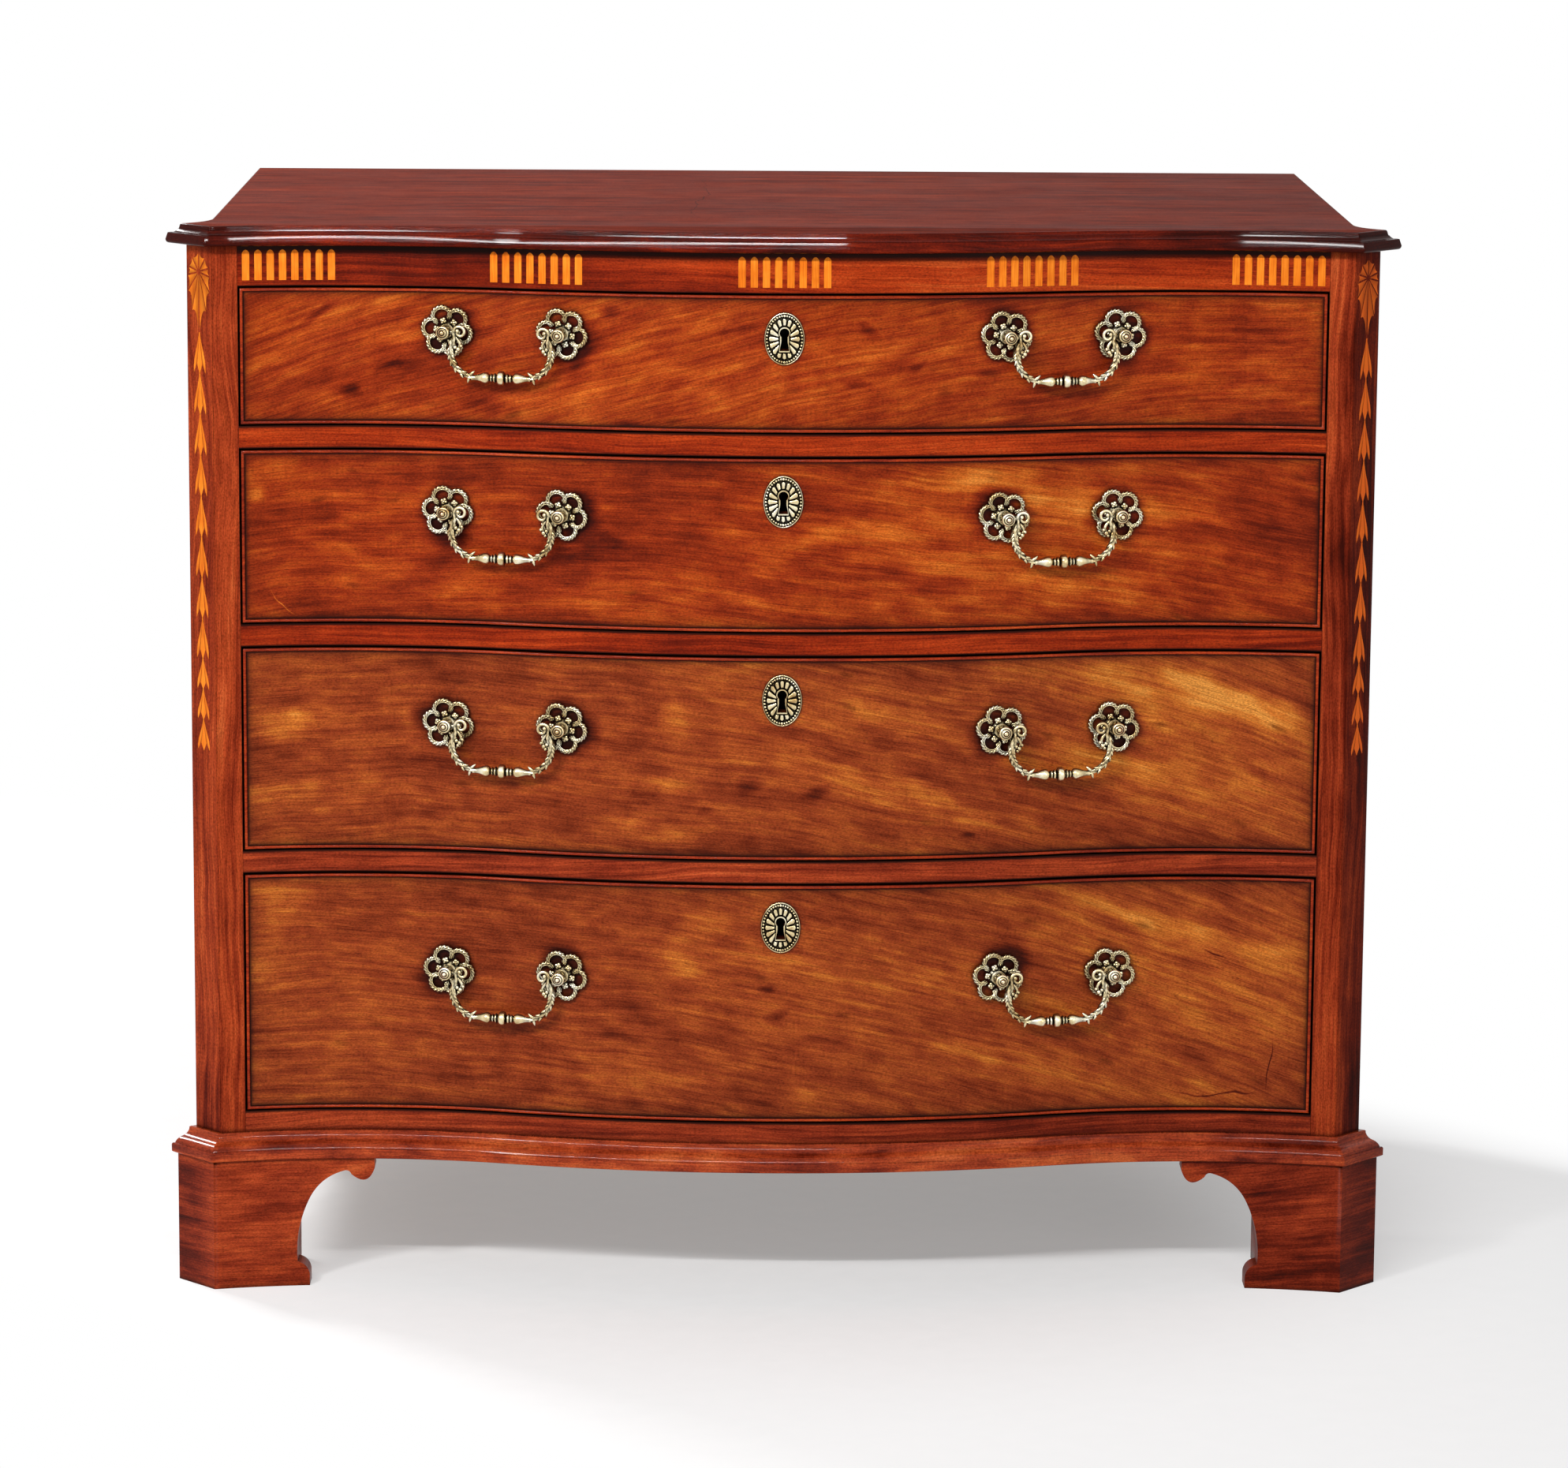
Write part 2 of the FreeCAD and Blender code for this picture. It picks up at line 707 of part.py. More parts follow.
def rail(label, low, high, mortised):
    """A rail between the stiles, shaped to the front and slotted for the bolt below it."""
    stock = box(label + "_stock", BETWEEN_STILES, ("lip_y", "rail_back_y"), (low, high))
    shaped = common(label + "_shaped", case_blank, stock)
    if mortised:
        shaped = cut(label + "_mortised", shaped, mortise(label + "_mortise", low))
    return node(shaped, label)


rail("bottom_rail", "foot_height", "floor_4", False)
for number in (1, 2, 3):
    rail(f"divider_{number}", f"floor_{number} - divider_height", f"floor_{number}", True)

# Frieze rail with its inlaid flutes
derive("flute_half", "flute_width / 2")
derive("flute_z", "frieze_z + flute_rise")
derive("flute_outer_x", f"opening_half - flute_margin - flute_half - {(FLUTES - 1) / 2} * flute_pitch")
derive("flute_inner_x", "flute_outer_x / 2")
FACING = FreeCAD.Rotation(V(1, 0, 0), UP, V(0, -1, 0), "ZXY")
flute = prism(
    "flute",
    [
        ("-flute_half", "0"),
        ("flute_half", "0"),
        ("flute_half", "flute_height", "flute_crown"),
        ("-flute_half", "flute_height"),
    ],
    "top_depth / 2",
)
flutes = []
for place, middle in enumerate(("-flute_outer_x", "-flute_inner_x", "0", "flute_inner_x", "flute_outer_x")):
    for number in range(FLUTES):
        shift = number - (FLUTES - 1) / 2
        base = (f"{middle} + {shift} * flute_pitch", "0", "flute_z")
        flutes.append(copy(f"flute_{place}_{number}", flute, base, rotation=FACING))
flute_inlay = common("flute_pieces", group("flute_set", flutes), inlay_band)
node(flute_inlay, "flute_inlay")
frieze_stock = box("frieze_stock", BETWEEN_STILES, ("lip_y", "rail_back_y"), ("frieze_z", "case_top"))
frieze = common("frieze_shaped", front_band, frieze_stock)
frieze = cut("frieze_mortised", frieze, mortise("frieze_mortise", "frieze_z"))
node(cut("frieze_inlaid", frieze, flute_inlay), "frieze_rail")

# Inlay of the canted corners: a patera over a chain of husks
for number in range(PATERA_HALF_WEDGES + 1):
    turn = 180 * number / PATERA_HALF_WEDGES
    reach = "patera_upper" if number < PATERA_HALF_WEDGES / 2 else "patera_lower"
    derive(f"patera_x_{number}", f"patera_half * sin({turn})")
    derive(f"patera_z_{number}", f"{reach} * cos({turn})")
wedges = []
for sign in ("", "-"):
    for number in range(PATERA_HALF_WEDGES):
        first = (f"{sign}patera_x_{number}", f"patera_z_{number}")
        last = (f"{sign}patera_x_{number + 1}", f"patera_z_{number + 1}")
        bow = "-patera_scallop" if sign else "patera_scallop"
        corners = [("0", "0"), (*first, bow), last]
        wedges.append(prism(f"wedge_{len(wedges)}", corners, "inlay_depth", backwards=True))
patera = group("patera", wedges)

derive("husk_bow", "husk_neck / 2")
derive("husk_fork", "husk_petal / 2")
husk = prism(
    "husk",
    [
        ("0", "0"),
        ("husk_petal", "husk_notch"),
        ("husk_half", "husk_tip", "husk_bow"),
        ("husk_neck", "husk_shoulder", "-husk_fork"),
        ("0", "husk_length", "-husk_fork"),
        ("-husk_neck", "husk_shoulder", "husk_bow"),
        ("-husk_half", "husk_tip"),
        ("-husk_petal", "husk_notch"),
    ],
    "inlay_depth",
    backwards=True,
)
CANT = math.radians(SIZES["cant_angle"])
husk_levels = [f"case_top - husk_start - {number} * husk_pitch" for number in range(HUSKS)]
last_husk = husk_levels[-1]
husk_levels += [f"{last_husk} - {number + 1} * tail_pitch" for number in range(TAIL_HUSKS)]
inlaid_corners = []
for word, side in SIDES.items():
    across = V(math.cos(CANT), side * math.sin(CANT), 0)
    face = FreeCAD.Rotation(across, UP, across.cross(UP), "ZXY")
    middle = "cant_x" if side > 0 else "-cant_x"
    pieces = [copy(f"{word}_patera", patera, (middle, "cant_y", "case_top - patera_drop"), rotation=face)]
    for number, level in enumerate(husk_levels):
        pieces.append(copy(f"{word}_husk_{number}", husk, (middle, "cant_y", level), rotation=face))
    inlay = group(f"{word}_corner_inlay", pieces)
    inlaid_corners.append(inlay)
    post = box(
        f"{word}_stile_stock",
        span(side, "opening_half", "sweep_x"),
        ("lip_y", "sweep_y"),
        CASE_HEIGHT,
    )
    stile = cut(f"{word}_stile_inlaid", common(f"{word}_stile_shaped", case_blank, post), inlay)
    node(stile, f"{word}_stile")
node(group("corner_inlay", inlaid_corners), "husk_inlay")

# Dustboards, runners, guides, kickers and stops
derive("runner_x", "side_inner - runner_width")
dustboards = []
runners = []
guides = []
stops = []
INSIDE = ("rail_back_y", "inner_back_y")
BEHIND_STILES = ("sweep_y", "inner_back_y")
for number in DRAWERS:
    floor = f"floor_{number}"
    under = "foot_height + bottom_thickness" if number == DRAWERS[-1] else f"{floor} - divider_height"
    if number != DRAWERS[-1]:
        middle = f"{floor} - divider_height / 2"
        level = (f"{middle} - dustboard_thickness / 2", f"{middle} + dustboard_thickness / 2")
        dustboards.append(box(f"dustboard_{number}", ("-runner_x", "runner_x"), INSIDE, level))
    for word, side in SIDES.items():
        bounds = span(side, "runner_x", "side_inner")
        runners.append(box(f"{word}_runner_{number}", bounds, INSIDE, (under, floor)))
        bounds = span(side, "opening_half", "side_inner")
        level = (floor, f"{floor} + guide_height")
        guides.append(box(f"{word}_guide_{number}", bounds, BEHIND_STILES, level))
        bounds = span(side, "stop_x - stop_width / 2", "stop_x + stop_width / 2")
        depth = ("lip_y", "front_y + swell + front_thickness + stop_depth")
        block = box(f"{word}_stop_stock_{number}", bounds, depth, (floor, f"{floor} + stop_height"))
        stops.append(common(f"{word}_stop_{number}", stop_blank, block))
for word, side in SIDES.items():
    level = ("frieze_z", "frieze_z + kicker_height")
    guides.append(box(f"{word}_kicker", span(side, "runner_x", "side_inner"), BEHIND_STILES, level))
node(group("dustboard_set", dustboards), "dustboards")
node(group("runner_set", runners), "drawer_runners")
node(group("guide_set", guides), "drawer_guides")
node(group("stop_set", stops), "drawer_stops")

# Bracket feet and the glue blocks behind them
derive("bracket_end", "scroll_reach + toe_reach")
BRACKET = [
    ("toe_reach", "-toe_rise"),
    ("toe_reach", "toe_rise", "toe_bow"),
    ("waist_reach", "waist_rise", "-haunch_bow"),
    ("haunch_reach", "haunch_rise", "-crown_bow"),
    ("crown_reach", "crown_rise", "-cusp_bow"),
    ("cusp_reach", "cusp_rise", "scroll_bow"),
    ("scroll_reach", "scroll_rise"),
    ("bracket_end", "scroll_rise"),
    ("bracket_end", "-toe_rise"),
]
FOOT_HEIGHT = ("0", "foot_height")
foot_band = cut("foot_band", foot_blank, foot_inner_blank)
foot_stock = box(
    "foot_stock",
    ("arris_half - scroll_reach", "sweep_x"),
    ("lip_y - foot_thickness", "ear_y + scroll_reach"),
    FOOT_HEIGHT,
)
ALONG_FRONT = FreeCAD.Rotation(V(-1, 0, 0), UP, V(0, 1, 0), "ZXY")
ALONG_SIDE = FreeCAD.Rotation(V(0, 1, 0), UP, V(1, 0, 0), "ZXY")
ALONG_BACK = FreeCAD.Rotation(V(0, -1, 0), UP, V(-1, 0, 0), "ZXY")
front_arch = prism("front_arch", BRACKET, "top_depth / 4", ALONG_FRONT, ("arris_half", "lip_y", "0"))
side_arch = prism("side_arch", BRACKET, "ear_half", ALONG_SIDE, ("arris_half - foot_thickness", "ear_y", "0"))
rear_arch = prism("rear_arch", BRACKET, "ear_half", ALONG_BACK, ("sweep_x", "back_y", "0"))
foot = common("foot_shaped", foot_band, foot_stock)
foot = cut("foot_front_cut", foot, front_arch)
front_foot = cut("foot_side_cut", foot, side_arch)
derive("foot_face_x", "side_half + foot_side_set")
derive("foot_back_x", "foot_face_x - foot_thickness")
rear_side = cut(
    "rear_foot_side",
    box("rear_foot_stock", ("foot_back_x", "foot_face_x"), ("back_y - scroll_reach", "back_y"), FOOT_HEIGHT),
    rear_arch,
)
rear_back = box(
    "rear_foot_back",
    ("foot_back_x - back_bracket_width", "foot_back_x"),
    ("back_y - foot_thickness", "back_y"),
    FOOT_HEIGHT,
)
rear_foot = group("rear_foot", [rear_side, rear_back])
node(mirrored("front_left_foot", front_foot), "front_left_foot")
node(front_foot, "front_right_foot")
node(mirrored("rear_left_foot", rear_foot), "rear_left_foot")
node(rear_foot, "rear_right_foot")

BLOCK_HEIGHT = ("block_lift", "foot_height")
blocks = []
for word, side in SIDES.items():
    bounds = span(side, "foot_back_x - block_width", "foot_back_x")
    stock = box(f"{word}_front_block_stock", bounds, ("lip_y", "sweep_y + block_width / 2"), BLOCK_HEIGHT)
    blocks.append(common(f"{word}_front_block", foot_inner_blank, stock))
    depth = ("back_y - foot_thickness - block_width", "back_y - foot_thickness")
    blocks.append(box(f"{word}_rear_block", bounds, depth, BLOCK_HEIGHT))
node(group("block_set", blocks), "foot_blocks")

# Handle places: two posts on the curve of the front, and the line between them
SWELL_LINE = "front_y + swell_radius - sqrt(swell_radius^2 - ({0})^2)"
HOLLOW_LINE = "front_y + swell - hollow_radius + sqrt(hollow_radius^2 - ({0} - hollow_x)^2)"
rough_in = SWELL_LINE.format("handle_x - boring / 2")
rough_out = HOLLOW_LINE.format("(handle_x + boring / 2)")
derive("rough_turn", f"atan((({rough_out}) - ({rough_in})) / boring)")
derive("post_in_x", "handle_x - boring / 2 * cos(rough_turn)")
derive("post_out_x", "handle_x + boring / 2 * cos(rough_turn)")
derive("post_in_y", SWELL_LINE.format("post_in_x"))
derive("post_out_y", HOLLOW_LINE.format("post_out_x"))
derive("handle_turn", "atan((post_out_y - post_in_y) / (post_out_x - post_in_x))")
derive("turn_in", "asin(post_in_x / swell_radius)")
derive("turn_out", "asin((hollow_x - post_out_x) / hollow_radius)")
derive("hinge_x", "(post_in_x + post_out_x) / 2 + hinge_reach * sin(handle_turn)")
derive("hinge_y", "(post_in_y + post_out_y) / 2 - hinge_reach * cos(handle_turn)")


# Rosette: a disc ringed by six pierced lobes
def circle(sketch, reach, radius):
    """A circle whose centre stands above the sketch's origin."""
    ring = sketch.addGeometry(Part.Circle(V(0, value(reach), 0), UP, value(radius)))
    if value(reach):
        tie(sketch, "PointOnObject", ring, CENTRE, Y_AXIS)
        dimension(sketch, "DistanceY", (ORIGIN, START, ring, CENTRE), reach)
    else:
        tie(sketch, "Coincident", ring, CENTRE, ORIGIN, START)
    dimension(sketch, "Radius", (ring,), radius)
    return sketch


def rosette_body():
    body = doc.addObject("PartDesign::Body", "rosette")
    features = []
    for word, reach, radius in (("disc", "0", "rosette_disc"), ("lobe", "lobe_reach", "lobe_radius")):
        sketch = circle(sketch_in(body, "XZ_Plane", f"rosette_{word}_outline"), reach, radius)
        sketch.setExpression("AttachmentOffset.Base.z", bound("rosette_lift"))
        feature = body.newObject("PartDesign::Pad", f"rosette_{word}")
        feature.Profile = sketch
        feature.setExpression("Length", bound("rosette_thickness"))
        features.append(feature)
    derive("shank_hole", "shank_radius + shank_clearance")
    for word, reach, radius in (("piercing", "lobe_reach", "lobe_hole"), ("bore", "0", "shank_hole")):
        feature = body.newObject("PartDesign::Pocket", f"rosette_{word}")
        feature.Profile = circle(sketch_in(body, "XZ_Plane", f"rosette_{word}_outline"), reach, radius)
        feature.Midplane = True
        feature.setExpression("Length", bound("4 * rosette_lift + 4 * rosette_thickness"))
        features.append(feature)
    doc.recompute()
    disc, lobe, piercing, bore = features
    ring = body.newObject("PartDesign::PolarPattern", "rosette_lobes")
    ring.Originals = [lobe, piercing, bore]
    ring.Axis = (disc.Profile[0], ["N_Axis"])
    ring.Occurrences = LOBES
    body.Tip = ring
    doc.recompute()
    return body


# Post: a shank through the front, a shoulder, an eye for the bail and a turned knob
derive("shank_end", "front_thickness + nut_gap + nut_thickness + shank_spare")
derive("shoulder_y", "rosette_lift + rosette_thickness + shoulder_gap")
derive("eye_front", "hinge_reach + eye_radius")
derive("eye_back", "hinge_reach - eye_radius")


def post_body():
    body = doc.addObject("PartDesign::Body", "post")
    profile = [
        ("0", "shank_end"),
        ("0", "-knob_reach"),
        ("knob_tip", "-knob_reach"),
        ("eye_radius", "-eye_front"),
        ("eye_radius", "-eye_back"),
        ("neck_radius", "-neck_reach"),
        ("shoulder_radius", "-shoulder_y"),
        ("shank_radius", "-shoulder_y"),
        ("shank_radius", "shank_end"),
    ]
    turned = body.newObject("PartDesign::Revolution", "post_turned")
    turned.Profile = trace(sketch_in(body, "XY_Plane", "post_profile"), profile)
    turned.ReferenceAxis = (turned.Profile[0], ["V_Axis"])
    doc.recompute()
    sketch = sketch_in(body, "YZ_Plane", "post_eye_outline")
    hole = sketch.addGeometry(Part.Circle(V(-value("hinge_reach"), 0, 0), UP, value("pin_radius + pin_clearance")))
    tie(sketch, "PointOnObject", hole, CENTRE, ORIGIN)
    dimension(sketch, "DistanceX", (hole, CENTRE, ORIGIN, START), "hinge_reach")
    dimension(sketch, "Radius", (hole,), "pin_radius + pin_clearance")
    eye = body.newObject("PartDesign::Pocket", "post_eye")
    eye.Profile = sketch
    eye.Midplane = True
    eye.setExpression("Length", bound("4 * eye_radius"))
    doc.recompute()
    return body


def nut_body():
    nut = doc.addObject("Part::Prism", "nut_stock")
    nut.Polygon = NUT_SIDES
    nut.setExpression("Circumradius", bound("nut_radius"))
    nut.setExpression("Height", bound("nut_thickness"))
    bore = doc.addObject("Part::Cylinder", "nut_bore")
    bore.setExpression("Radius", bound("shank_radius"))
    bore.setExpression("Height", bound("nut_thickness"))
    return cut("nut", nut, bore)


# Bail: two arms and a turned bar in one sweep, with a pin at the head of each arm
derive("arm_x", "boring / 2 - arm_inset")
derive("bend_x", "arm_x - bail_bend")
derive("bend_z", "bail_bend - bail_drop")
derive("bend_bow", "bail_bend * (1 - sqrt(2) / 2)")


def bail_body():
    body = doc.addObject("PartDesign::Body", "bail")
    section = circle(sketch_in(body, "XY_Plane", "bail_section"), "0", "arm_radius")
    section.setExpression("AttachmentOffset.Base.x", bound("arm_x"))
    section.setExpression("AttachmentOffset.Base.z", bound("arm_top"))
    path = [
        ("arm_x", "arm_top"),
        ("arm_x", "bend_z", "-bend_bow"),
        ("bend_x", "-bail_drop"),
        ("-bend_x", "-bail_drop", "-bend_bow"),
        ("-arm_x", "bend_z"),
        ("-arm_x", "arm_top"),
    ]
    sweep = body.newObject("PartDesign::AdditivePipe", "bail_sweep")
    sweep.Profile = section
    sweep.Spine = (trace(sketch_in(body, "XZ_Plane", "bail_path"), path, closed=False), [])
    doc.recompute()
    half = [
        ("bend_x", "arm_radius"),
        ("bulb_reach", "bulb_radius"),
        ("bail_neck_reach", "bail_neck_radius"),
        ("ring_half", "bail_neck_radius"),
        ("ring_half", "ring_radius"),
    ]
    profile = [("bend_x", "0")] + half
    profile += [("-" + x, radius) for x, radius in reversed(half)] + [("-bend_x", "0")]
    sketch = trace(sketch_in(body, "XZ_Plane", "bail_turning"), profile)
    sketch.setExpression("AttachmentOffset.Base.y", bound("-bail_drop"))
    bar = body.newObject("PartDesign::Revolution", "bail_bar")
    bar.Profile = sketch
    bar.ReferenceAxis = (sketch, ["H_Axis"])
    doc.recompute()
    sketch = circle(sketch_in(body, "YZ_Plane", "bail_pin_outline"), "0", "pin_radius")
    sketch.setExpression("AttachmentOffset.Base.z", bound("arm_x"))
    pin = body.newObject("PartDesign::Pad", "bail_pin")
    pin.Profile = sketch
    pin.setExpression("Length", bound("arm_inset + pin_end"))
    doc.recompute()
    pair = body.newObject("PartDesign::Mirrored", "bail_pins")
    pair.Originals = [pin]
    pair.MirrorPlane = (plane_of(body, "YZ_Plane"), [""])
    body.Tip = pair
    doc.recompute()
    return body


rosette = rosette_body()
post = post_body()
nut = nut_body()
bail = bail_body()
shank_bore = doc.addObject("Part::Cylinder", "shank_bore")
shank_bore.setExpression("Radius", bound("shank_hole"))
shank_bore.setExpression("Height", bound("2 * shank_end"))
INTO_FRONT = FreeCAD.Rotation(V(1, 0, 0), V(0, 0, -1), V(0, 1, 0), "ZXY")

# Escutcheon: an oval plate with a keyhole
oval = doc.addObject("Part::Ellipse", "escutcheon_outline")
oval.setExpression("MajorRadius", bound("escutcheon_height / 2"))
oval.setExpression("MinorRadius", bound("escutcheon_width / 2"))
oval.Placement.Rotation = FreeCAD.Rotation(UP, V(-1, 0, 0), V(0, -1, 0), "ZXY")
plate = doc.addObject("Part::Extrusion", "escutcheon_plate")
plate.Base = oval
plate.DirMode = "Custom"
plate.Dir = V(0, -1, 0)
plate.Solid = True
plate.setExpression("LengthFwd", bound("escutcheon_thickness"))
round_hole = doc.addObject("Part::Cylinder", "keyhole_round")
round_hole.setExpression("Radius", bound("keyhole_radius"))
round_hole.setExpression("Height", bound("2 * front_thickness"))
round_hole.Placement.Rotation = INTO_FRONT
round_hole.setExpression("Placement.Base.y", bound("-front_thickness"))
round_hole.setExpression("Placement.Base.z", bound("keyhole_rise"))
slot = box(
    "keyhole_slot",
    ("-keyhole_slot / 2", "keyhole_slot / 2"),
    ("-front_thickness", "front_thickness"),
    ("-keyhole_drop", "keyhole_rise"),
)
keyhole = doc.addObject("Part::Fuse", "keyhole")
keyhole.Base = round_hole
keyhole.Tool = slot
escutcheon = cut("escutcheon", plate, keyhole)


# Drawers
def bead_strip(name, x, z):
    """A strip of cock bead along one edge of a front, standing a little proud of it."""
    return common(name, bead_band, box(name + "_stock", x, ("waste_y", "rail_back_y"), z))


def drawer(number):
    """One drawer: front, bead, box, lock, bolt, escutcheon and handles."""
    name = f"drawer_{number}"
    derive(f"low_{number}", f"floor_{number} + front_gap")
    derive(f"high_{number}", f"floor_{number} + opening_{number} - front_gap")
    low, high = f"low_{number}", f"high_{number}"
    derive(f"hinge_z_{number}", f"{high} - handle_drop_{number}")
    derive(f"key_z_{number}", f"{high} - escutcheon_drop")
    hinge_z = f"hinge_z_{number}"
    key_place = ("0", "front_y", f"key_z_{number}")

    # Cock bead round the four edges
    edge = "opening_half - front_gap"
    full = (f"-({edge})", edge)
    strips = [
        bead_strip(f"{name}_bead_top", full, (f"{high} - bead_width", high)),
        bead_strip(f"{name}_bead_bottom", full, (low, f"{low} + bead_width")),
    ]
    for word, side in SIDES.items():
        bounds = span(side, f"{edge} - bead_width", edge)
        strips.append(bead_strip(f"{name}_bead_{word}", bounds, (f"{low} + bead_width", f"{high} - bead_width")))
    node(group(f"{name}_bead", strips), f"{name}_cockbead")

    # Lock let into the back of the front, with its bolt drawn back
    lock_y = ("lock_face_y", "lock_face_y + lock_thickness")
    lock_x = ("-lock_width / 2", "lock_width / 2")
    lock_z = (f"{high} - lock_height", high)
    bolt_x = ("-bolt_width / 2", "bolt_width / 2")
    bolt_z = (f"{high} - bolt_set - bolt_height", f"{high} - bolt_set")
    channel = box(
        f"{name}_channel",
        ("-bolt_width / 2 - slide_gap", "bolt_width / 2 + slide_gap"),
        ("bolt_y - slide_gap", "bolt_back_y + slide_gap"),
        (f"{high} - bolt_set - bolt_height - slide_gap", f"{high} + bolt_set"),
    )
    key_cut = copy(f"{name}_keyhole", keyhole, key_place)
    case = cut(f"{name}_lock_channelled", box(f"{name}_lock_case", lock_x, lock_y, lock_z), channel)
    node(cut(f"{name}_lock_pierced", case, key_cut), f"{name}_lock")
    node(box(f"{name}_bolt_bar", bolt_x, ("bolt_y", "bolt_back_y"), bolt_z), f"{name}_bolt")
    node(group(f"{name}_escutcheon_set", [copy(f"{name}_plate", escutcheon, key_place)]), f"{name}_escutcheon")

    # Handles: posts, rosettes and nuts on the front, and the two bails
    fittings = []
    bores = []
    for word, side in SIDES.items():
        sign = "" if side > 0 else "-"
        for spot in ("in", "out"):
            place = (f"{sign}post_{spot}_x", f"post_{spot}_y", hinge_z)
            tag = f"{name}_{word}_{spot}"
            turn = f"{sign}handle_turn"
            fittings.append(copy(f"{tag}_rosette", rosette, place, turn=f"{sign}turn_{spot}"))
            fittings.append(copy(f"{tag}_post", post, place, turn=turn))
            depth = "(front_thickness + nut_gap)"
            behind = (f"{place[0]} - {depth} * sin({turn})", f"{place[1]} + {depth} * cos({turn})", hinge_z)
            angle = math.radians(value(turn))
            inward = V(-math.sin(angle), math.cos(angle), 0)
            through = FreeCAD.Rotation(V(0, 0, 1).cross(inward), V(0, 0, -1), inward, "ZXY")
            fittings.append(copy(f"{tag}_nut", nut, behind, rotation=through))
            ahead = (f"{place[0]} + shank_end * sin({turn})", f"{place[1]} - shank_end * cos({turn})", hinge_z)
            bores.append(copy(f"{tag}_bore", shank_bore, ahead, rotation=through))
        place = (f"{sign}hinge_x", "hinge_y", hinge_z)
        hung = group(f"{name}_bail_{word}_set", [copy(f"{name}_{word}_bail", bail, place, turn=turn)])
        node(hung, f"{name}_bail_{word}")
    node(group(f"{name}_fittings", fittings), f"{name}_rosettes")

    # Front, rebated for the bead, bored for the posts and cut for the lock
    stock = box(f"{name}_front_stock", full, ("waste_y", "rail_back_y"), (low, high))
    front = common(f"{name}_front_shaped", front_band, stock)
    front = cut(f"{name}_front_rebated", front, rebate(name, full, low, high))
    pocket_y = ("lock_face_y", "rail_back_y")
    pocket = box(f"{name}_lock_pocket", lock_x, pocket_y, (lock_z[0], f"{high} + front_gap"))
    front = cut(f"{name}_front_pocketed", front, pocket)
    front = cut(f"{name}_front_bored", front, group(f"{name}_bores", bores + [key_cut]))
    node(front, f"{name}_front")

    # Box behind the front
    side_x = "opening_half - drawer_side_gap"
    inner_x = f"{side_x} - drawer_side_thickness"
    floor = f"floor_{number} + slide_gap"
    rear = "inner_back_y - drawer_rear_gap"
    side_z = (floor, f"{high} - drawer_side_drop")
    boards = []
    for word, side in SIDES.items():
        stock = box(f"{name}_{word}_side_stock", span(side, inner_x, side_x), ("front_y", rear), side_z)
        boards.append(common(f"{name}_{word}_side", inside_blank, stock))
    across = (f"-({inner_x})", inner_x)
    panel_z = f"{floor} + drawer_bottom_rise"
    panel_top = f"{panel_z} + drawer_bottom_thickness"
    stock = box(f"{name}_bottom_stock", across, ("front_y", rear), (panel_z, panel_top))
    boards.append(common(f"{name}_bottom", inside_blank, stock))
    back_z = (panel_top, f"{high} - drawer_back_drop")
    boards.append(box(f"{name}_back", across, (f"{rear} - drawer_back_thickness", rear), back_z))
    node(group(f"{name}_box_set", boards), f"{name}_box")


def rebate(name, full, low, high):
    """What the bead takes from the four edges of a front."""
    around = box(f"{name}_rebate_stock", full, ("waste_y", "rail_back_y"), (low, high))
    middle = (f"{full[0]} + bead_width", f"{full[1]} - bead_width")
    height = (f"{low} + bead_width", f"{high} - bead_width")
    inside = box(f"{name}_rebate_inside", middle, ("waste_y", "rail_back_y"), height)
    frame = cut(f"{name}_rebate_frame", around, inside)
    return common(f"{name}_rebate", bead_band, frame)


for number in DRAWERS:
    drawer(number)
doc.recompute()

# Checks before anything is written
for item in doc.Objects:
    if {"Invalid", "Error"} & set(item.State):
        raise RuntimeError(f"{item.Label} failed: {item.State}")
for piece in nodes:
    if piece.Shape.isNull() or not piece.Shape.isValid():
        raise RuntimeError(f"{piece.Label} has no valid shape")
    if not piece.Shape.Solids:
        raise RuntimeError(f"{piece.Label} holds no solid")

os.makedirs("parts", exist_ok=True)
for piece in nodes:
    piece.Shape.exportStep(f"parts/{piece.Label}.step")
    print(piece.Label, len(piece.Shape.Solids), round(piece.Shape.Volume))
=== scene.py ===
# Looks of the serpentine chest of drawers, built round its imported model.
# Shapes are worked out in millimetres, in the model's own frame: +Z up, the front towards -Y.
import math
import random
import bmesh
import bpy
from mathutils import Matrix, Vector


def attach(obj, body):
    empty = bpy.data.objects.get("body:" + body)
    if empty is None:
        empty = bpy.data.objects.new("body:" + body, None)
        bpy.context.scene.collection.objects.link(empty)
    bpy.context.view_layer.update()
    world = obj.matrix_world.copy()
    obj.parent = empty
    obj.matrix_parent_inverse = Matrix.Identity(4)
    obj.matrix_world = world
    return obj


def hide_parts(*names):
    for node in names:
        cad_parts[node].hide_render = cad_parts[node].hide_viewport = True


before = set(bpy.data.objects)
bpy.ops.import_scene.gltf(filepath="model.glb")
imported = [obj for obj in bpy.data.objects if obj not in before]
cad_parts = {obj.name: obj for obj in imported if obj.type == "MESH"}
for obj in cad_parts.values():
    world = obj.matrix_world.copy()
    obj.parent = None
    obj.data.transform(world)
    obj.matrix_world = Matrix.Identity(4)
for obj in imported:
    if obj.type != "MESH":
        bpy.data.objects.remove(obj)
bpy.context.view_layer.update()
MM = 0.001
SIDES = {"left": -1, "right": 1}
DRAWERS = (1, 2, 3, 4)
rng = random.Random(7)

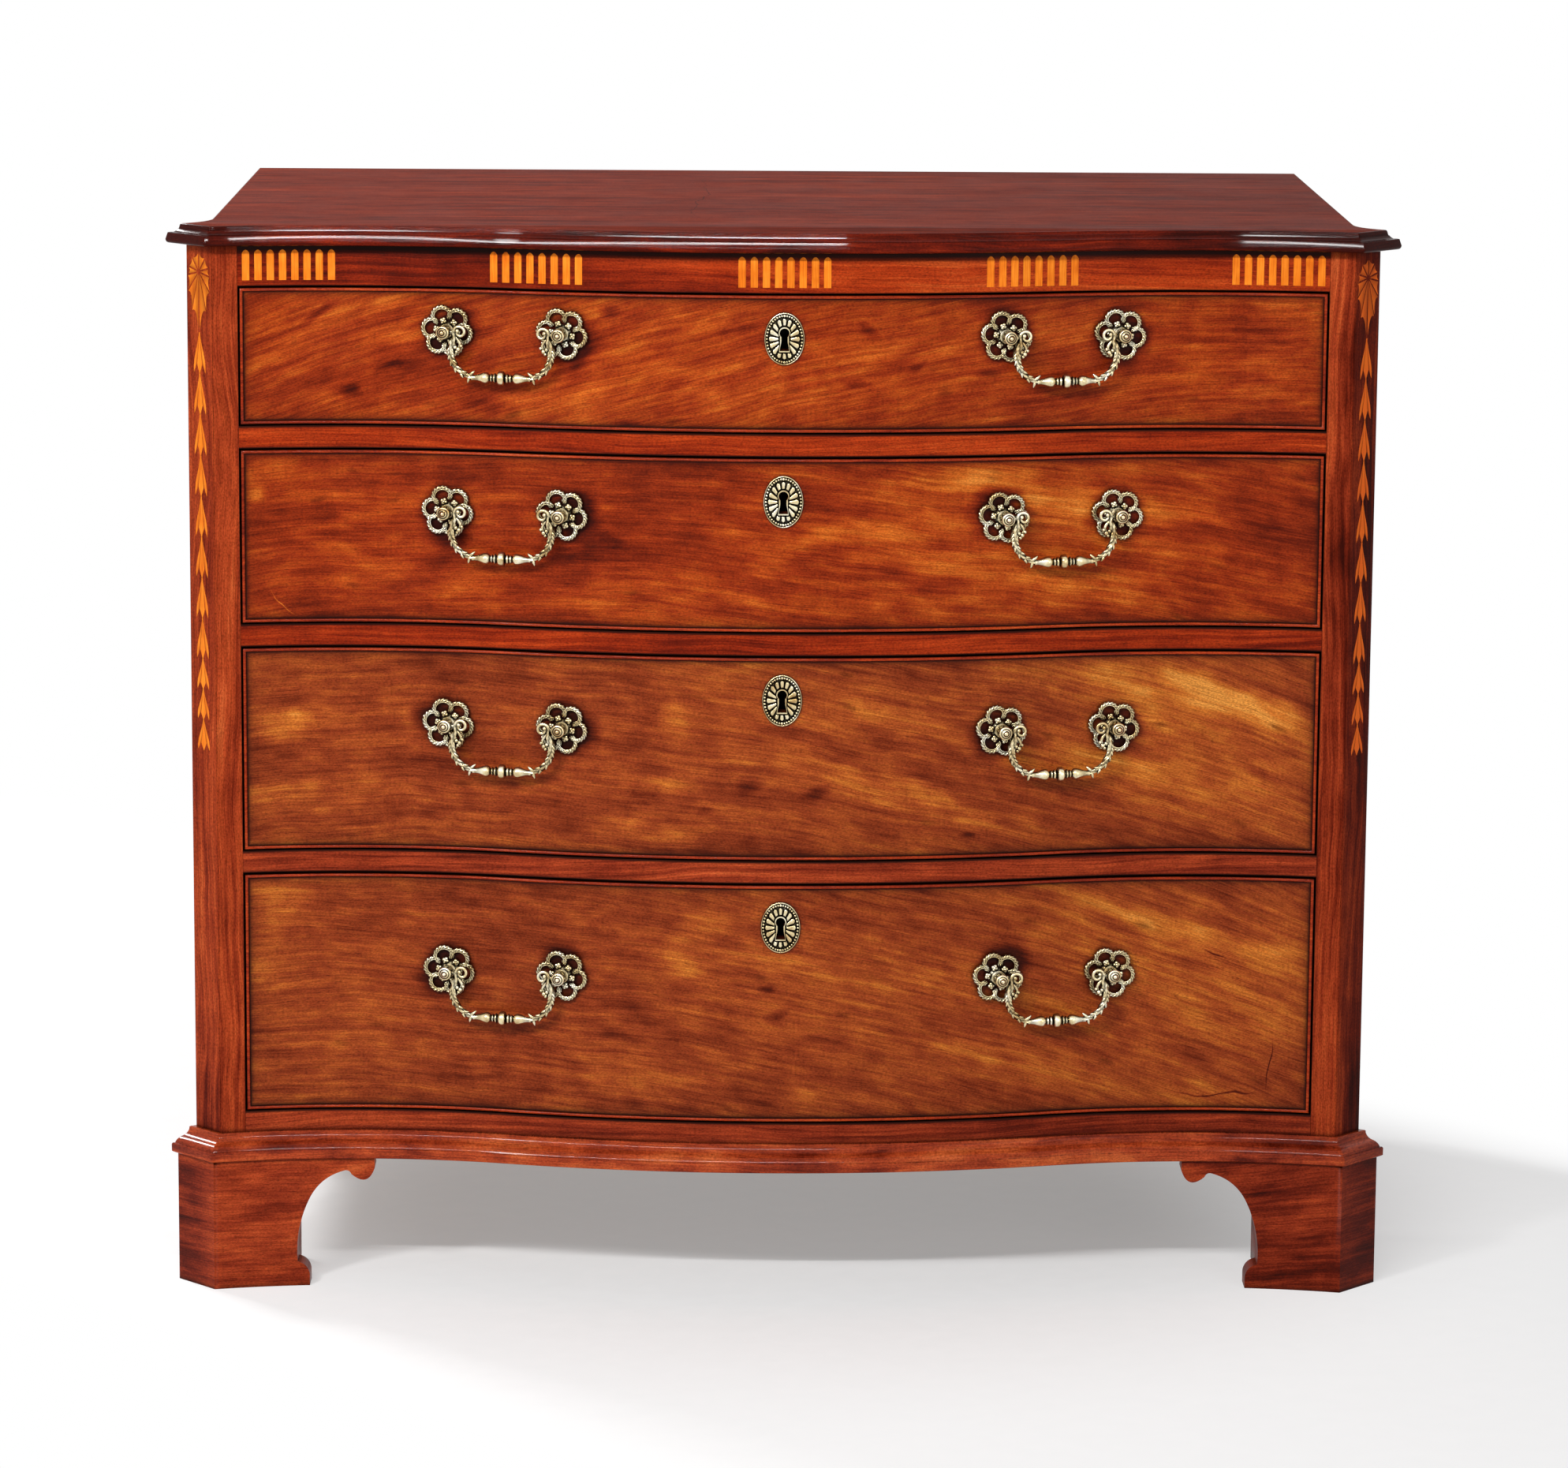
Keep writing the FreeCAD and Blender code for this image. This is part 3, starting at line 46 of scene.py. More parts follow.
# Plan of the case
FRONT = -292.5
BACK = 308.0
EAR_HALF = 515.5
ARRIS_HALF = 492.0
SIDE_HALF = 493.0
OPENING_HALF = 470.0
EAR_RADIUS = 52.5
SWELL = 45.0
HOLLOW_X = 368.0
HOLLOW_RADIUS = 550.0
SWELL_RADIUS = (HOLLOW_X**2 + SWELL**2) / (2 * SWELL) - HOLLOW_RADIUS
ARRIS_Y = FRONT + SWELL - HOLLOW_RADIUS + math.sqrt(HOLLOW_RADIUS**2 - (ARRIS_HALF - HOLLOW_X) ** 2)
EAR_Y = ARRIS_Y + EAR_HALF - ARRIS_HALF
SWEEP_X = SIDE_HALF + EAR_RADIUS
SWEEP_Y = EAR_Y + math.sqrt(EAR_RADIUS**2 - (SWEEP_X - EAR_HALF) ** 2)
RAIL_BACK = FRONT + 110.0

# Heights
FOOT_HEIGHT = 116.0
BASE_HEIGHT = 22.0
BOTTOM_RAIL = 40.4
OPENINGS = {1: 121.4, 2: 154.1, 3: 181.5, 4: 214.6}
DIVIDER = 19.5
FLOORS = {4: FOOT_HEIGHT + BOTTOM_RAIL}
for above in (3, 2, 1):
    FLOORS[above] = FLOORS[above + 1] + OPENINGS[above + 1] + DIVIDER
FRIEZE = FLOORS[1] + OPENINGS[1]
FRIEZE_HEIGHT = 35.5
CASE_TOP = FRIEZE + FRIEZE_HEIGHT
TOP_THICKNESS = 16.5
HEIGHT = CASE_TOP + TOP_THICKNESS

# Edges and mouldings
TOP_OVERHANG = 15.5
SIDE_OVERHANG = 3.5
FOOT_PROJECTION = 15.5
FOOT_THICKNESS = 22.0
FOOT_SIDE = 1.0

# Drawers and their fittings
GAP = 1.6
FRONT_THICKNESS = 22.0
BEAD = 3.0
BEAD_PROUD = 2.2
BEAD_DEPTH = 8.0
LOCK_FACE = FRONT + FRONT_THICKNESS - 8.0
KEY_DROP = 37.3
HANDLE_DROP = {1: 36.1, 2: 52.2, 3: 65.7, 4: 84.9}
HANDLE_X = 240.0
BORING = 101.6
HINGE_REACH = 14.0
PANEL_HALF = OPENING_HALF - GAP - BEAD


def front_levels(number):
    """The lowest and highest level of a drawer's front."""
    return FLOORS[number] + GAP, FLOORS[number] + OPENINGS[number] - GAP


def handle_level(number):
    """The level of a drawer's handle posts."""
    return front_levels(number)[1] - HANDLE_DROP[number]


# Plan curves
def front_y(x, out=0.0):
    """How deep the serpentine front lies at x, set forward by out."""
    x = abs(x)
    if x <= HOLLOW_X * (SWELL_RADIUS + out) / (SWELL_RADIUS + HOLLOW_RADIUS):
        return FRONT + SWELL_RADIUS - math.sqrt((SWELL_RADIUS + out) ** 2 - x * x)
    return FRONT + SWELL - HOLLOW_RADIUS + math.sqrt((HOLLOW_RADIUS - out) ** 2 - (x - HOLLOW_X) ** 2)


def spread(low, high, count):
    """Evenly spaced numbers, both ends included."""
    return [low + (high - low) * i / count for i in range(count + 1)]


def turns(count):
    """Evenly spaced angles round a circle."""
    return [2 * math.pi * i / count for i in range(count)]


CANT_ALONG = Vector((1, 1)).normalized()
CANT_OUT = Vector((1, -1)).normalized()


def crossing(base, centre, radius, far):
    """Where the line of a cant meets a circle."""
    foot = CANT_ALONG.dot(centre - base)
    miss = (base + CANT_ALONG * foot - centre).length
    reach = math.sqrt(radius * radius - miss * miss)
    return base + CANT_ALONG * (foot + (reach if far else -reach))


def cant_ends(out, side):
    """The two arrises of the right-hand cant: at the front, and at the ear."""
    base = CANT_OUT * (CANT_OUT.dot(Vector((ARRIS_HALF, ARRIS_Y))) + out)
    hollow = Vector((HOLLOW_X, FRONT + SWELL - HOLLOW_RADIUS))
    corner = crossing(base, hollow, HOLLOW_RADIUS - out, True)
    tip = crossing(base, Vector((SWEEP_X, SWEEP_Y)), EAR_RADIUS - side, False)
    return corner, tip


def bend(start, middle, end, count):
    """Points along a soft bend that heads for a middle point on its way from start to end."""
    return [start.lerp(middle, t).lerp(middle.lerp(end, t), t) for t in spread(0, 1, count)]


def soften(before, after, cut=0.9):
    """Joins two runs of points, with a small round at the arris where they meet."""
    corner = Vector(before[-1])
    first = corner + (Vector(before[-2]) - corner).normalized() * cut
    last = corner + (Vector(after[1]) - corner).normalized() * cut
    return before[:-1] + bend(first, corner, last, 4) + after[1:]


def ear_curve(out, side):
    """From the cant's outer arris round the swept return to the side."""
    tip = cant_ends(out, side)[1]
    first = math.atan2(tip.y - SWEEP_Y, tip.x - SWEEP_X) % (2 * math.pi)
    radius = EAR_RADIUS - side
    return [
        Vector((SWEEP_X + radius * math.cos(a), SWEEP_Y + radius * math.sin(a)))
        for a in spread(first, math.pi, 12)
    ]


def half_path(out, side, start=0.0):
    """The right-hand edge of the plan, from the front at x = start round to the side."""
    corner, tip = cant_ends(out, side)
    front = [Vector((x, front_y(x, out))) for x in spread(start, corner.x, 90)]
    cant = [corner.lerp(tip, t) for t in spread(0, 1, 4)]
    return soften(soften(front, cant), ear_curve(out, side))


def edge_path(out, side):
    """The whole edge of the plan, from the back on the left round the front to the back on the right."""
    right = half_path(out, side) + [Vector((SIDE_HALF + side, BACK))]
    left = [Vector((-p.x, p.y)) for p in reversed(right[1:])]
    return left + right


def lifted(path, level):
    """A line of the plan, set at a level."""
    return [Vector((p.x, p.y, level)) for p in path]


def bent(start, end, sag, count=8):
    """Points along a shallow curve that stands off its chord, to the right for a positive sag."""
    start, end = Vector(start), Vector(end)
    chord = end - start
    middle = (start + end) / 2 + Vector((chord.y, -chord.x)).normalized() * 2 * sag
    return bend(start, middle, end, count)


def outline(points, count=8):
    """A line through points; a third number bends the run that follows its point."""
    line = []
    for here, after in zip(points, points[1:]):
        line += bent(here[:2], after[:2], here[2], count)[:-1] if len(here) == 3 else [Vector(here)]
    return line + [Vector(points[-1][:2])]


# Posts and hinge of the right-hand handles, which stand square to the chord between their posts
POST_LEAN = math.atan((front_y(HANDLE_X + BORING / 2) - front_y(HANDLE_X - BORING / 2)) / BORING)
POST_HALF = BORING / 2 * math.cos(POST_LEAN)
POSTS = {"in": HANDLE_X - POST_HALF, "out": HANDLE_X + POST_HALF}
POSTS = {spot: (x, front_y(x)) for spot, x in POSTS.items()}
HANDLE_TURN = math.atan((POSTS["out"][1] - POSTS["in"][1]) / (2 * POST_HALF))
HINGE_X = HANDLE_X + HINGE_REACH * math.sin(HANDLE_TURN)
HINGE_Y = (POSTS["in"][1] + POSTS["out"][1]) / 2 - HINGE_REACH * math.cos(HANDLE_TURN)


# Meshes
class Shape:
    """Points and faces gathered for one piece, with a shade from 0 to 1 at each point."""

    def __init__(self):
        self.points = []
        self.faces = []
        self.shades = []

    def add(self, points, faces, shade=0.0, place=None):
        start = len(self.points)
        points = [Vector(p) for p in points]
        self.points += [place(p) for p in points] if place else points
        self.faces += [tuple(i + start for i in face) for face in faces]
        self.shades += list(shade) if hasattr(shade, "__len__") else [shade] * len(points)
        return self

    def mirrored(self):
        """The same shape on the other side of the chest."""
        other = Shape()
        other.points = [Vector((-p.x, p.y, p.z)) for p in self.points]
        other.faces = [tuple(reversed(face)) for face in self.faces]
        other.shades = list(self.shades)
        return other


def grid(rows, around=False, through=False, caps=False):
    """Faces over rows of points. Around closes each row, through joins the last row to the first."""
    wide, tall = len(rows[0]), len(rows)
    faces = []
    for r in range(tall if through else tall - 1):
        below, above = r * wide, (r + 1) % tall * wide
        for c in range(wide if around else wide - 1):
            d = (c + 1) % wide
            faces.append((below + c, below + d, above + d, above + c))
    if caps and around:
        faces.append(tuple(reversed(range(wide))))
        faces.append(tuple((tall - 1) * wide + c for c in range(wide)))
    if caps and through:
        faces.append(tuple(r * wide for r in range(tall)))
        faces.append(tuple(reversed([r * wide + wide - 1 for r in range(tall)])))
    return [p for row in rows for p in row], faces


def barrel(rows):
    """A closed form: each row runs round it, and the first and last are capped."""
    return grid(rows, around=True, caps=True)


def lathe(profile, sides=24):
    """A turned form about the Y axis: radius and reach forward along a profile, dark in its grooves."""
    rows = []
    for radius, reach in profile:
        rows.append([Vector((radius * math.cos(a), -reach, radius * math.sin(a))) for a in turns(sides)])
    shades = [0.0]
    for (a, x), (b, y), (c, z) in zip(profile, profile[1:], profile[2:]):
        sunk = max((a + c) / 2 - b, min(x, z) - y)
        shades.append(min(max(sunk * 1.1, 0.0), 0.85))
    shades.append(0.0)
    return *barrel(rows), [shade for shade in shades for _ in range(sides)]


def smooth(low, high, value):
    """An easy step from 0 to 1 as the value goes from low to high."""
    t = min(max((value - low) / (high - low), 0.0), 1.0)
    return t * t * (3 - 2 * t)


def turned_away_shade(away):
    """How dark the painted shade is on a place that faces away from the viewer's side, where away is 1 at
    the very back.
    """
    return 0.95 * smooth(-0.9, 0.1, away)


def ball(centre, radii, sides=12, rings=7):
    """A rounded bud."""
    centre, radii = Vector(centre), Vector(radii)
    rows = []
    for k in range(rings):
        lift = math.pi * (k + 0.5) / rings - math.pi / 2
        wide, reach = math.cos(lift), math.sin(lift)
        ring = [Vector((wide * math.cos(a), reach, wide * math.sin(a))) for a in turns(sides)]
        rows.append([centre + Vector(map(lambda u, v: u * v, p, radii)) for p in ring])
    # Painted shade on the back of each bud
    shades = [turned_away_shade((p.y - centre.y) / radii.y) for row in rows for p in row]
    return *barrel(rows), shades


def smooth_line(points, count):
    """A smooth line through points, sampled evenly between each two."""
    points = [Vector(p) for p in points]
    ends = [2 * points[0] - points[1]] + points + [2 * points[-1] - points[-2]]
    line = []
    for a, b, c, d in zip(ends, ends[1:], ends[2:], ends[3:]):
        for i in range(count):
            t = i / count
            square = (2 * a - 5 * b + 4 * c - d) * t * t
            cube = (3 * b - a - 3 * c + d) * t**3
            line.append(0.5 * (2 * b + (c - a) * t + square + cube))
    return line + [points[-1]]


def tube(line, radius, sides=10, strands=0, twist=0.0, groove=0.0):
    """A round bar along a line. Strands twist round it like rope, cut in by the groove."""
    rows = []
    shades = []
    across = None
    travelled = 0.0
    for i, point in enumerate(line):
        along = (line[min(i + 1, len(line) - 1)] - line[max(i - 1, 0)]).normalized()
        if across is None:
            across = along.orthogonal().normalized()
        across = (across - along * across.dot(along)).normalized()
        other = along.cross(across)
        if i:
            travelled += (point - line[i - 1]).length
        size = radius(i / (len(line) - 1)) if callable(radius) else radius
        row = []
        for a in turns(sides):
            crest = math.cos(strands * a + twist * travelled) if strands else 1.0
            way = across * math.cos(a) + other * math.sin(a)
            row.append(point + way * size * (1 + groove * crest))
            # Painted shade where the bar turns away from the viewer's side, and patina in the rope's
            # grooves
            shades.append(max(turned_away_shade(way.y), 0.85 * smooth(0.3, -0.9, crest)))
        rows.append(row)
    return *barrel(rows), shades


def closed_mesh(name, points, faces):
    """A mesh with all its faces turned outwards, from points in millimetres."""
    mesh = bpy.data.meshes.new(name)
    mesh.from_pydata([Vector(p) * MM for p in points], [], faces)
    work = bmesh.new()
    work.from_mesh(mesh)
    bmesh.ops.recalc_face_normals(work, faces=work.faces)
    work.to_mesh(mesh)
    work.free()
    return mesh


def piece(name, shape, material, body, stands_for=(), sharp=35.0, bevel=0.0):
    """Makes a shape into an object that rides on a body of the chest."""
    mesh = closed_mesh(name, shape.points, shape.faces)
    shade = mesh.attributes.new("shade", "FLOAT", "POINT")
    shade.data.foreach_set("value", shape.shades)
    mesh.shade_smooth()
    mesh.set_sharp_from_angle(angle=math.radians(sharp))
    mesh.materials.append(material)
    made = bpy.data.objects.new(name, mesh)
    bpy.context.scene.collection.objects.link(made)
    if bevel:
        soften_edges(made, bevel)
    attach(made, body)
    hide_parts(*stands_for)
    return made


def case_piece(name, shape, wood, node, sharp=30.0, bevel=0.0):
    """A mahogany piece of the case itself."""
    return piece(name, shape, WOODS[wood], "carcass", [node], sharp, bevel)


def soften_edges(made, width):
    """Eases the sharp edges of a board."""
    bevel = made.modifiers.new("eased", "BEVEL")
    bevel.width = width * MM
    bevel.segments = 2
    bevel.limit_method = "ANGLE"
    bevel.angle_limit = math.radians(40)


def carve(made, points, faces):
    """Cuts a closed form out of a piece."""
    cutter = bpy.data.objects.new("cutter", closed_mesh("cutter", points, faces))
    bpy.context.scene.collection.objects.link(cutter)
    difference = made.modifiers.new("carved", "BOOLEAN")
    difference.operation = "DIFFERENCE"
    difference.solver = "EXACT"
    difference.object = cutter
    evaluated = made.evaluated_get(bpy.context.evaluated_depsgraph_get())
    carved = bpy.data.meshes.new_from_object(evaluated)
    made.modifiers.remove(difference)
    made.data = carved
    bpy.data.objects.remove(cutter)


def block(x, y, z):
    """The corners and faces of a box between bounds."""
    corners = ((x[0], y[0]), (x[1], y[0]), (x[1], y[1]), (x[0], y[1]))
    return barrel([[Vector((a, b, height)) for a, b in corners] for height in z])


# Materials
def srgb(red, green, blue):
    """A colour given as it looks on screen, from 0 to 255."""
    share = [v / 255 for v in (red, green, blue)]
    return (*[v / 12.92 if v <= 0.04045 else ((v + 0.055) / 1.055) ** 2.4 for v in share], 1.0)


def tones(*stops):
    """Stops of a colour ramp: place, red, green and blue."""
    return [(place, srgb(*colour)) for place, *colour in stops]


WHITE = (1.0, 1.0, 1.0, 1.0)


class Nodes:
    """The nodes of a material or of the world."""

    def __init__(self, tree):
        self.tree = tree

    def wire(self, node, inputs):
        for key, value in inputs.items():
            if isinstance(value, bpy.types.NodeSocket):
                self.tree.links.new(value, node.inputs[key])
            else:
                node.inputs[key].default_value = value

    def add(self, kind, inputs=None, **settings):
        node = self.tree.nodes.new(kind)
        for key, value in settings.items():
            setattr(node, key, value)
        self.wire(node, inputs or {})
        return node

    def math(self, operation, *values):
        return self.add("ShaderNodeMath", dict(enumerate(values)), operation=operation).outputs[0]

    def seen(self):
        """Whether a ray is the viewer's own, mirrored or sent on through glass."""
        rays = self.add("ShaderNodeLightPath").outputs
        sent = self.math("MAXIMUM", rays["Is Glossy Ray"], rays["Is Transmission Ray"])
        return self.math("MAXIMUM", rays["Is Camera Ray"], sent)


class Graph(Nodes):
    """The nodes of one material, round its main shader."""

    def __init__(self, name, **surface):
        self.material = bpy.data.materials.new(name)
        self.material.use_nodes = True
        super().__init__(self.material.node_tree)
        self.surface = self.tree.nodes["Principled BSDF"]
        self.wire(self.surface, {key.replace("_", " "): value for key, value in surface.items()})
        self.object = self.add("ShaderNodeTexCoord").outputs["Object"]

    def vector(self, operation, *values):
        node = self.add("ShaderNodeVectorMath", dict(enumerate(values)), operation=operation)
        return node.outputs["Value" if operation in ("LENGTH", "DOT_PRODUCT") else 0]

    def split(self, vector):
        return self.add("ShaderNodeSeparateXYZ", {0: vector}).outputs

    def noise(self, vector, detail=3.0, rough=0.55, scale=1.0, colour=False):
        inputs = {"Vector": vector, "Scale": scale, "Detail": detail, "Roughness": rough}
        return self.add("ShaderNodeTexNoise", inputs).outputs[1 if colour else 0]

    def swung(self, value, noise, strength):
        """The value, moved up and down by a noise."""
        return self.math("MULTIPLY_ADD", self.math("SUBTRACT", noise, 0.5), strength, value)

    def place(self, vector, size, turn=(0, 0, 0), shift=(0, 0, 0)):
        """Coordinates in units of size along each axis, turned first."""
        inputs = {"Vector": vector, "Location": shift, "Rotation": turn, "Scale": size}
        return self.add("ShaderNodeMapping", inputs, vector_type="TEXTURE").outputs[0]

    def warp(self, vector, scale, amount):
        """Coordinates pushed about by a slow noise."""
        push = self.noise(vector, 2.0, 0.5, scale, colour=True)
        centred = self.vector("SUBTRACT", push, (0.5, 0.5, 0.5))
        return self.vector("MULTIPLY_ADD", centred, (amount,) * 3, vector)

    def ramp(self, value, stops):
        """A colour for each value, blended between stops."""
        node = self.add("ShaderNodeValToRGB", {0: value})
        band = node.color_ramp.elements
        while len(band) < len(stops):
            band.new(0.5)
        for element, (position, colour) in zip(band, stops):
            element.position = position
            element.color = colour
        return node.outputs[0]

    def level(self, value, low, high, first=0.0, last=1.0):
        """The value's share of the way from low to high, as a number from first to last."""
        inputs = {0: value, 1: low, 2: high, 3: first, 4: last}
        return self.add("ShaderNodeMapRange", inputs, interpolation_type="SMOOTHSTEP").outputs[0]

    def mix(self, share, first, second, blend="MIX"):
        settings = {"data_type": "RGBA", "blend_type": blend, "clamp_factor": True}
        return self.add("ShaderNodeMix", {0: share, 6: first, 7: second}, **settings).outputs[2]

    def grained(self, share, colour, noise, low, tint, high):
        """The colour, darkened by a tint where the noise is low."""
        return self.mix(share, colour, self.ramp(noise, [(low, tint), (high, WHITE)]), "MULTIPLY")

    def open_sky(self, distance, samples):
        """How much of what is near each point is open: low in hollows."""
        inputs = {"Distance": distance}
        return self.add("ShaderNodeAmbientOcclusion", inputs, samples=samples).outputs["AO"]

    def shade(self):
        return self.add("ShaderNodeAttribute", attribute_name="shade").outputs["Fac"]

    def finish(self, colour, rough=None, height=None, depth=0.0002, strength=0.5):
        self.wire(self.surface, {"Base Color": colour})
        if rough is not None:
            self.wire(self.surface, {"Roughness": rough})
        if height is not None:
            inputs = {"Height": height, "Distance": depth, "Strength": strength}
            self.wire(self.surface, {"Normal": self.add("ShaderNodeBump", inputs).outputs[0]})
        return self.material


FLAT = 1000.0
# Painted shade: the colour of gaps, corners and hollows where shade falls
PAINTED_SHADE = srgb(24, 6, 2)
FIGURED = tones(
    (0.22, 66, 12, 2), (0.36, 114, 31, 7), (0.50, 156, 52, 16),
    (0.62, 186, 77, 23), (0.76, 220, 114, 36), (0.90, 244, 150, 60),
)
GOLDEN = tones(
    (0.22, 68, 18, 5), (0.36, 112, 38, 13), (0.50, 150, 62, 27),
    (0.62, 180, 86, 34), (0.76, 214, 122, 44), (0.90, 240, 160, 70),
)
PLAIN = tones(
    (0.22, 62, 10, 2), (0.38, 110, 25, 6), (0.52, 150, 43, 12),
    (0.68, 186, 64, 20), (0.86, 214, 94, 36),
)
BROWN = tones(
    (0.22, 62, 14, 5), (0.38, 108, 31, 13), (0.52, 148, 52, 25),
    (0.68, 184, 74, 35), (0.86, 214, 104, 52),
)


def sizes(faces, grain, along, across):
    """Sizes along and across the grain, with no change along the axis that a surface faces."""
    return tuple(FLAT if axis == faces else along if axis == grain else across for axis in "xyz")


def mahogany(name, faces="y", grain="x", stops=PLAIN, slope=(0.0, 0.0), broad=(0.40, 0.06, 0.7),
             streak=(0.14, 0.006, 0.7), mottle=0.35, seed=0.0, tone=0.0, figure_and_shade_patches=(), flecks=0.0,
             shine=0.06, rough=(0.30, 0.44), bump=0.35):
    """Polished mahogany. Broad and streak give the length and width in metres, and the strength, of two
    layers of the figure. The slope of the grain and its change per metre bend the figure along x.
    Patches pale or darken the figure, and some are painted shade and painted shadow: place across and up
    and half sizes in millimetres, then the lean in degrees and the strength."""
    g = Graph(name, Specular_IOR_Level=shine)
    split = g.split(g.object)
    rise = g.math("MULTIPLY", split[0], g.math("MULTIPLY_ADD", split[0], slope[1] / 2, slope[0]))
    level = g.math("SUBTRACT", split[2], rise)
    combed = g.add("ShaderNodeCombineXYZ", {0: split[0], 1: split[1], 2: level}).outputs[0]
    seeded = g.vector("ADD", combed, (seed, seed * 0.7, seed * 1.3))
    wandering = g.warp(g.warp(seeded, 2.4, 0.04), 12.0, 0.008)
    value = 0.5 + tone
    layers = ((*broad, 2.5), (*streak, 4.5), (0.035, 0.016, mottle, 3.0))
    for along, across, strength, detail in layers:
        layer = g.noise(g.place(wandering, sizes(faces, grain, along, across)), detail, 0.58)
        value = g.swung(value, layer, strength)
    ripple = g.warp(g.warp(g.object, 5.0, 0.06), 22.0, 0.02)
    for *place, lean, strength in figure_and_shade_patches:
        x, z, half_x, half_z = (v * MM for v in place)
        lean = math.radians(lean)
        if faces == "y":
            inputs = {0: g.place(ripple, (half_x, FLAT, half_z), (0, -lean, 0), (x, 0, z))}
        else:
            inputs = {0: g.place(ripple, (half_x, half_z, FLAT), (0, 0, lean), (x, z, 0))}
        patch = g.add("ShaderNodeTexGradient", inputs, gradient_type="SPHERICAL").outputs[1]
        value = g.math("MULTIPLY_ADD", g.level(patch, 0.0, 0.9), strength, value)
    colour = g.ramp(value, stops)
    fine = g.noise(g.place(wandering, sizes(faces, grain, 0.05, 0.0012)), 4.0, 0.65)
    colour = g.grained(0.65, colour, fine, 0.32, srgb(150, 128, 118), 0.60)
    grit = g.noise(g.place(g.object, sizes(faces, grain, 0.0022, 0.0012)), 2.0, 0.6)
    colour = g.grained(0.8, colour, grit, 0.30, srgb(170, 160, 155), 0.62)
    pores = g.noise(g.place(seeded, sizes(faces, grain, 0.009, 0.0007)), 1.0, 0.5)
    dashes = g.level(pores, 0.62, 0.70)
    colour = g.mix(g.math("MULTIPLY", dashes, 0.5), colour, srgb(58, 14, 3))
    if flecks:
        spots = g.place(g.warp(wandering, 30.0, 0.012), sizes(faces, grain, 0.034, 0.013))
        cells = g.add("ShaderNodeTexVoronoi", {"Vector": spots, "Scale": 1.0, "Randomness": 1.0})
        near = g.level(cells.outputs["Distance"], 0.34, 0.06)
        draw = g.add("ShaderNodeSeparateColor", {0: cells.outputs["Color"]}).outputs[0]
        spot = g.math("MULTIPLY", near, g.level(draw, 0.84, 0.94))
        colour = g.mix(g.math("MULTIPLY", spot, flecks), colour, srgb(58, 12, 2))
    # Painted shade and shadow from each point's shade: along the gaps, against and on the beads, and under
    # the lip
    colour = g.mix(g.shade(), colour, PAINTED_SHADE)
    # Painted shade in hollows and corners
    colour = g.mix(g.level(g.open_sky(0.009, 5), 0.88, 0.40, 0.0, 0.9), colour, PAINTED_SHADE)
    gloss = g.level(g.noise(g.object, 3.0, 0.6, 14.0), 0.3, 0.7, *rough)
    height = g.math("MULTIPLY_ADD", dashes, -0.6, fine)
    return g.finish(colour, gloss, height, 0.0001, bump)


def board_wood(name, grain, seed):
    """Planed oak and pine, unpolished, as used inside."""
    g = Graph(name, Specular_IOR_Level=0.25)
    wandering = g.warp(g.vector("ADD", g.object, (seed, seed, seed)), 3.0, 0.03)
    rings = g.noise(g.place(wandering, sizes("", grain, 0.55, 0.014)), 4.0, 0.6)
    fine = g.noise(g.place(wandering, sizes("", grain, 0.05, 0.0014)), 3.0, 0.6)
    colour = g.ramp(rings, tones((0.3, 112, 72, 38), (0.5, 150, 103, 58), (0.7, 181, 134, 82)))
    colour = g.grained(0.7, colour, fine, 0.3, srgb(175, 160, 145), 0.6)
    age = g.noise(g.object, 3.0, 0.6, 5.0)
    colour = g.mix(g.level(age, 0.45, 0.75, 0.0, 0.4), colour, srgb(84, 52, 28))
    height = g.math("MULTIPLY_ADD", fine, 0.6, rings)
    return g.finish(colour, g.level(fine, 0.3, 0.7, 0.55, 0.75), height, 0.0002, 0.4)


def satinwood():
    """Pale inlay, redder on the right-hand corner as painted light where that corner turns from the lamps.
    The shade says how far hot sand has browned it.
    """
    g = Graph("satinwood", Specular_IOR_Level=0.06)
    wandering = g.warp(g.object, 12.0, 0.004)
    grain = g.noise(g.place(wandering, (0.0011, FLAT, 0.03)), 4.0, 0.6)
    patches = g.noise(g.object, 2.0, 0.5, 60.0)
    value = g.math("MULTIPLY_ADD", grain, 0.6, g.math("MULTIPLY", patches, 0.4))
    colour = g.ramp(value, tones((0.3, 194, 84, 14), (0.48, 228, 120, 27), (0.7, 248, 152, 46)))
    # Painted light on the right-hand corner
    painted_light_right = g.level(g.split(g.object)[0], 0.47, 0.49, 0.0, 0.6)
    colour = g.mix(painted_light_right, colour, srgb(255, 102, 36))
    colour = g.mix(g.shade(), colour, srgb(92, 26, 5))
    return g.finish(colour, g.level(patches, 0.3, 0.7, 0.3, 0.45), grain, 0.00008, 0.3)


def brass():
    """Cast brass, rubbed bright where it stands proud and dark in the hollows."""
    g = Graph("brass", Metallic=1.0)
    tarnish = g.noise(g.object, 4.0, 0.65, 300.0)
    stain = g.noise(g.object, 3.0, 0.6, 60.0)
    bright = g.ramp(stain, tones((0.3, 184, 152, 100), (0.5, 236, 218, 172), (0.7, 255, 250, 228)))
    proud = g.swung(g.open_sky(0.004, 6), tarnish, 0.6)
    colour = g.mix(g.level(proud, 0.66, 1.0), srgb(16, 9, 5), bright)
    # The shade attribute: patina in the grooves and the plate's low field, and painted shade where a form
    # turns away from the viewer's side
    colour = g.mix(g.shade(), colour, srgb(12, 7, 4))
    gloss = g.level(proud, 0.5, 0.95, 0.6, 0.24)
    return g.finish(colour, gloss, tarnish, 0.0002, 0.3)


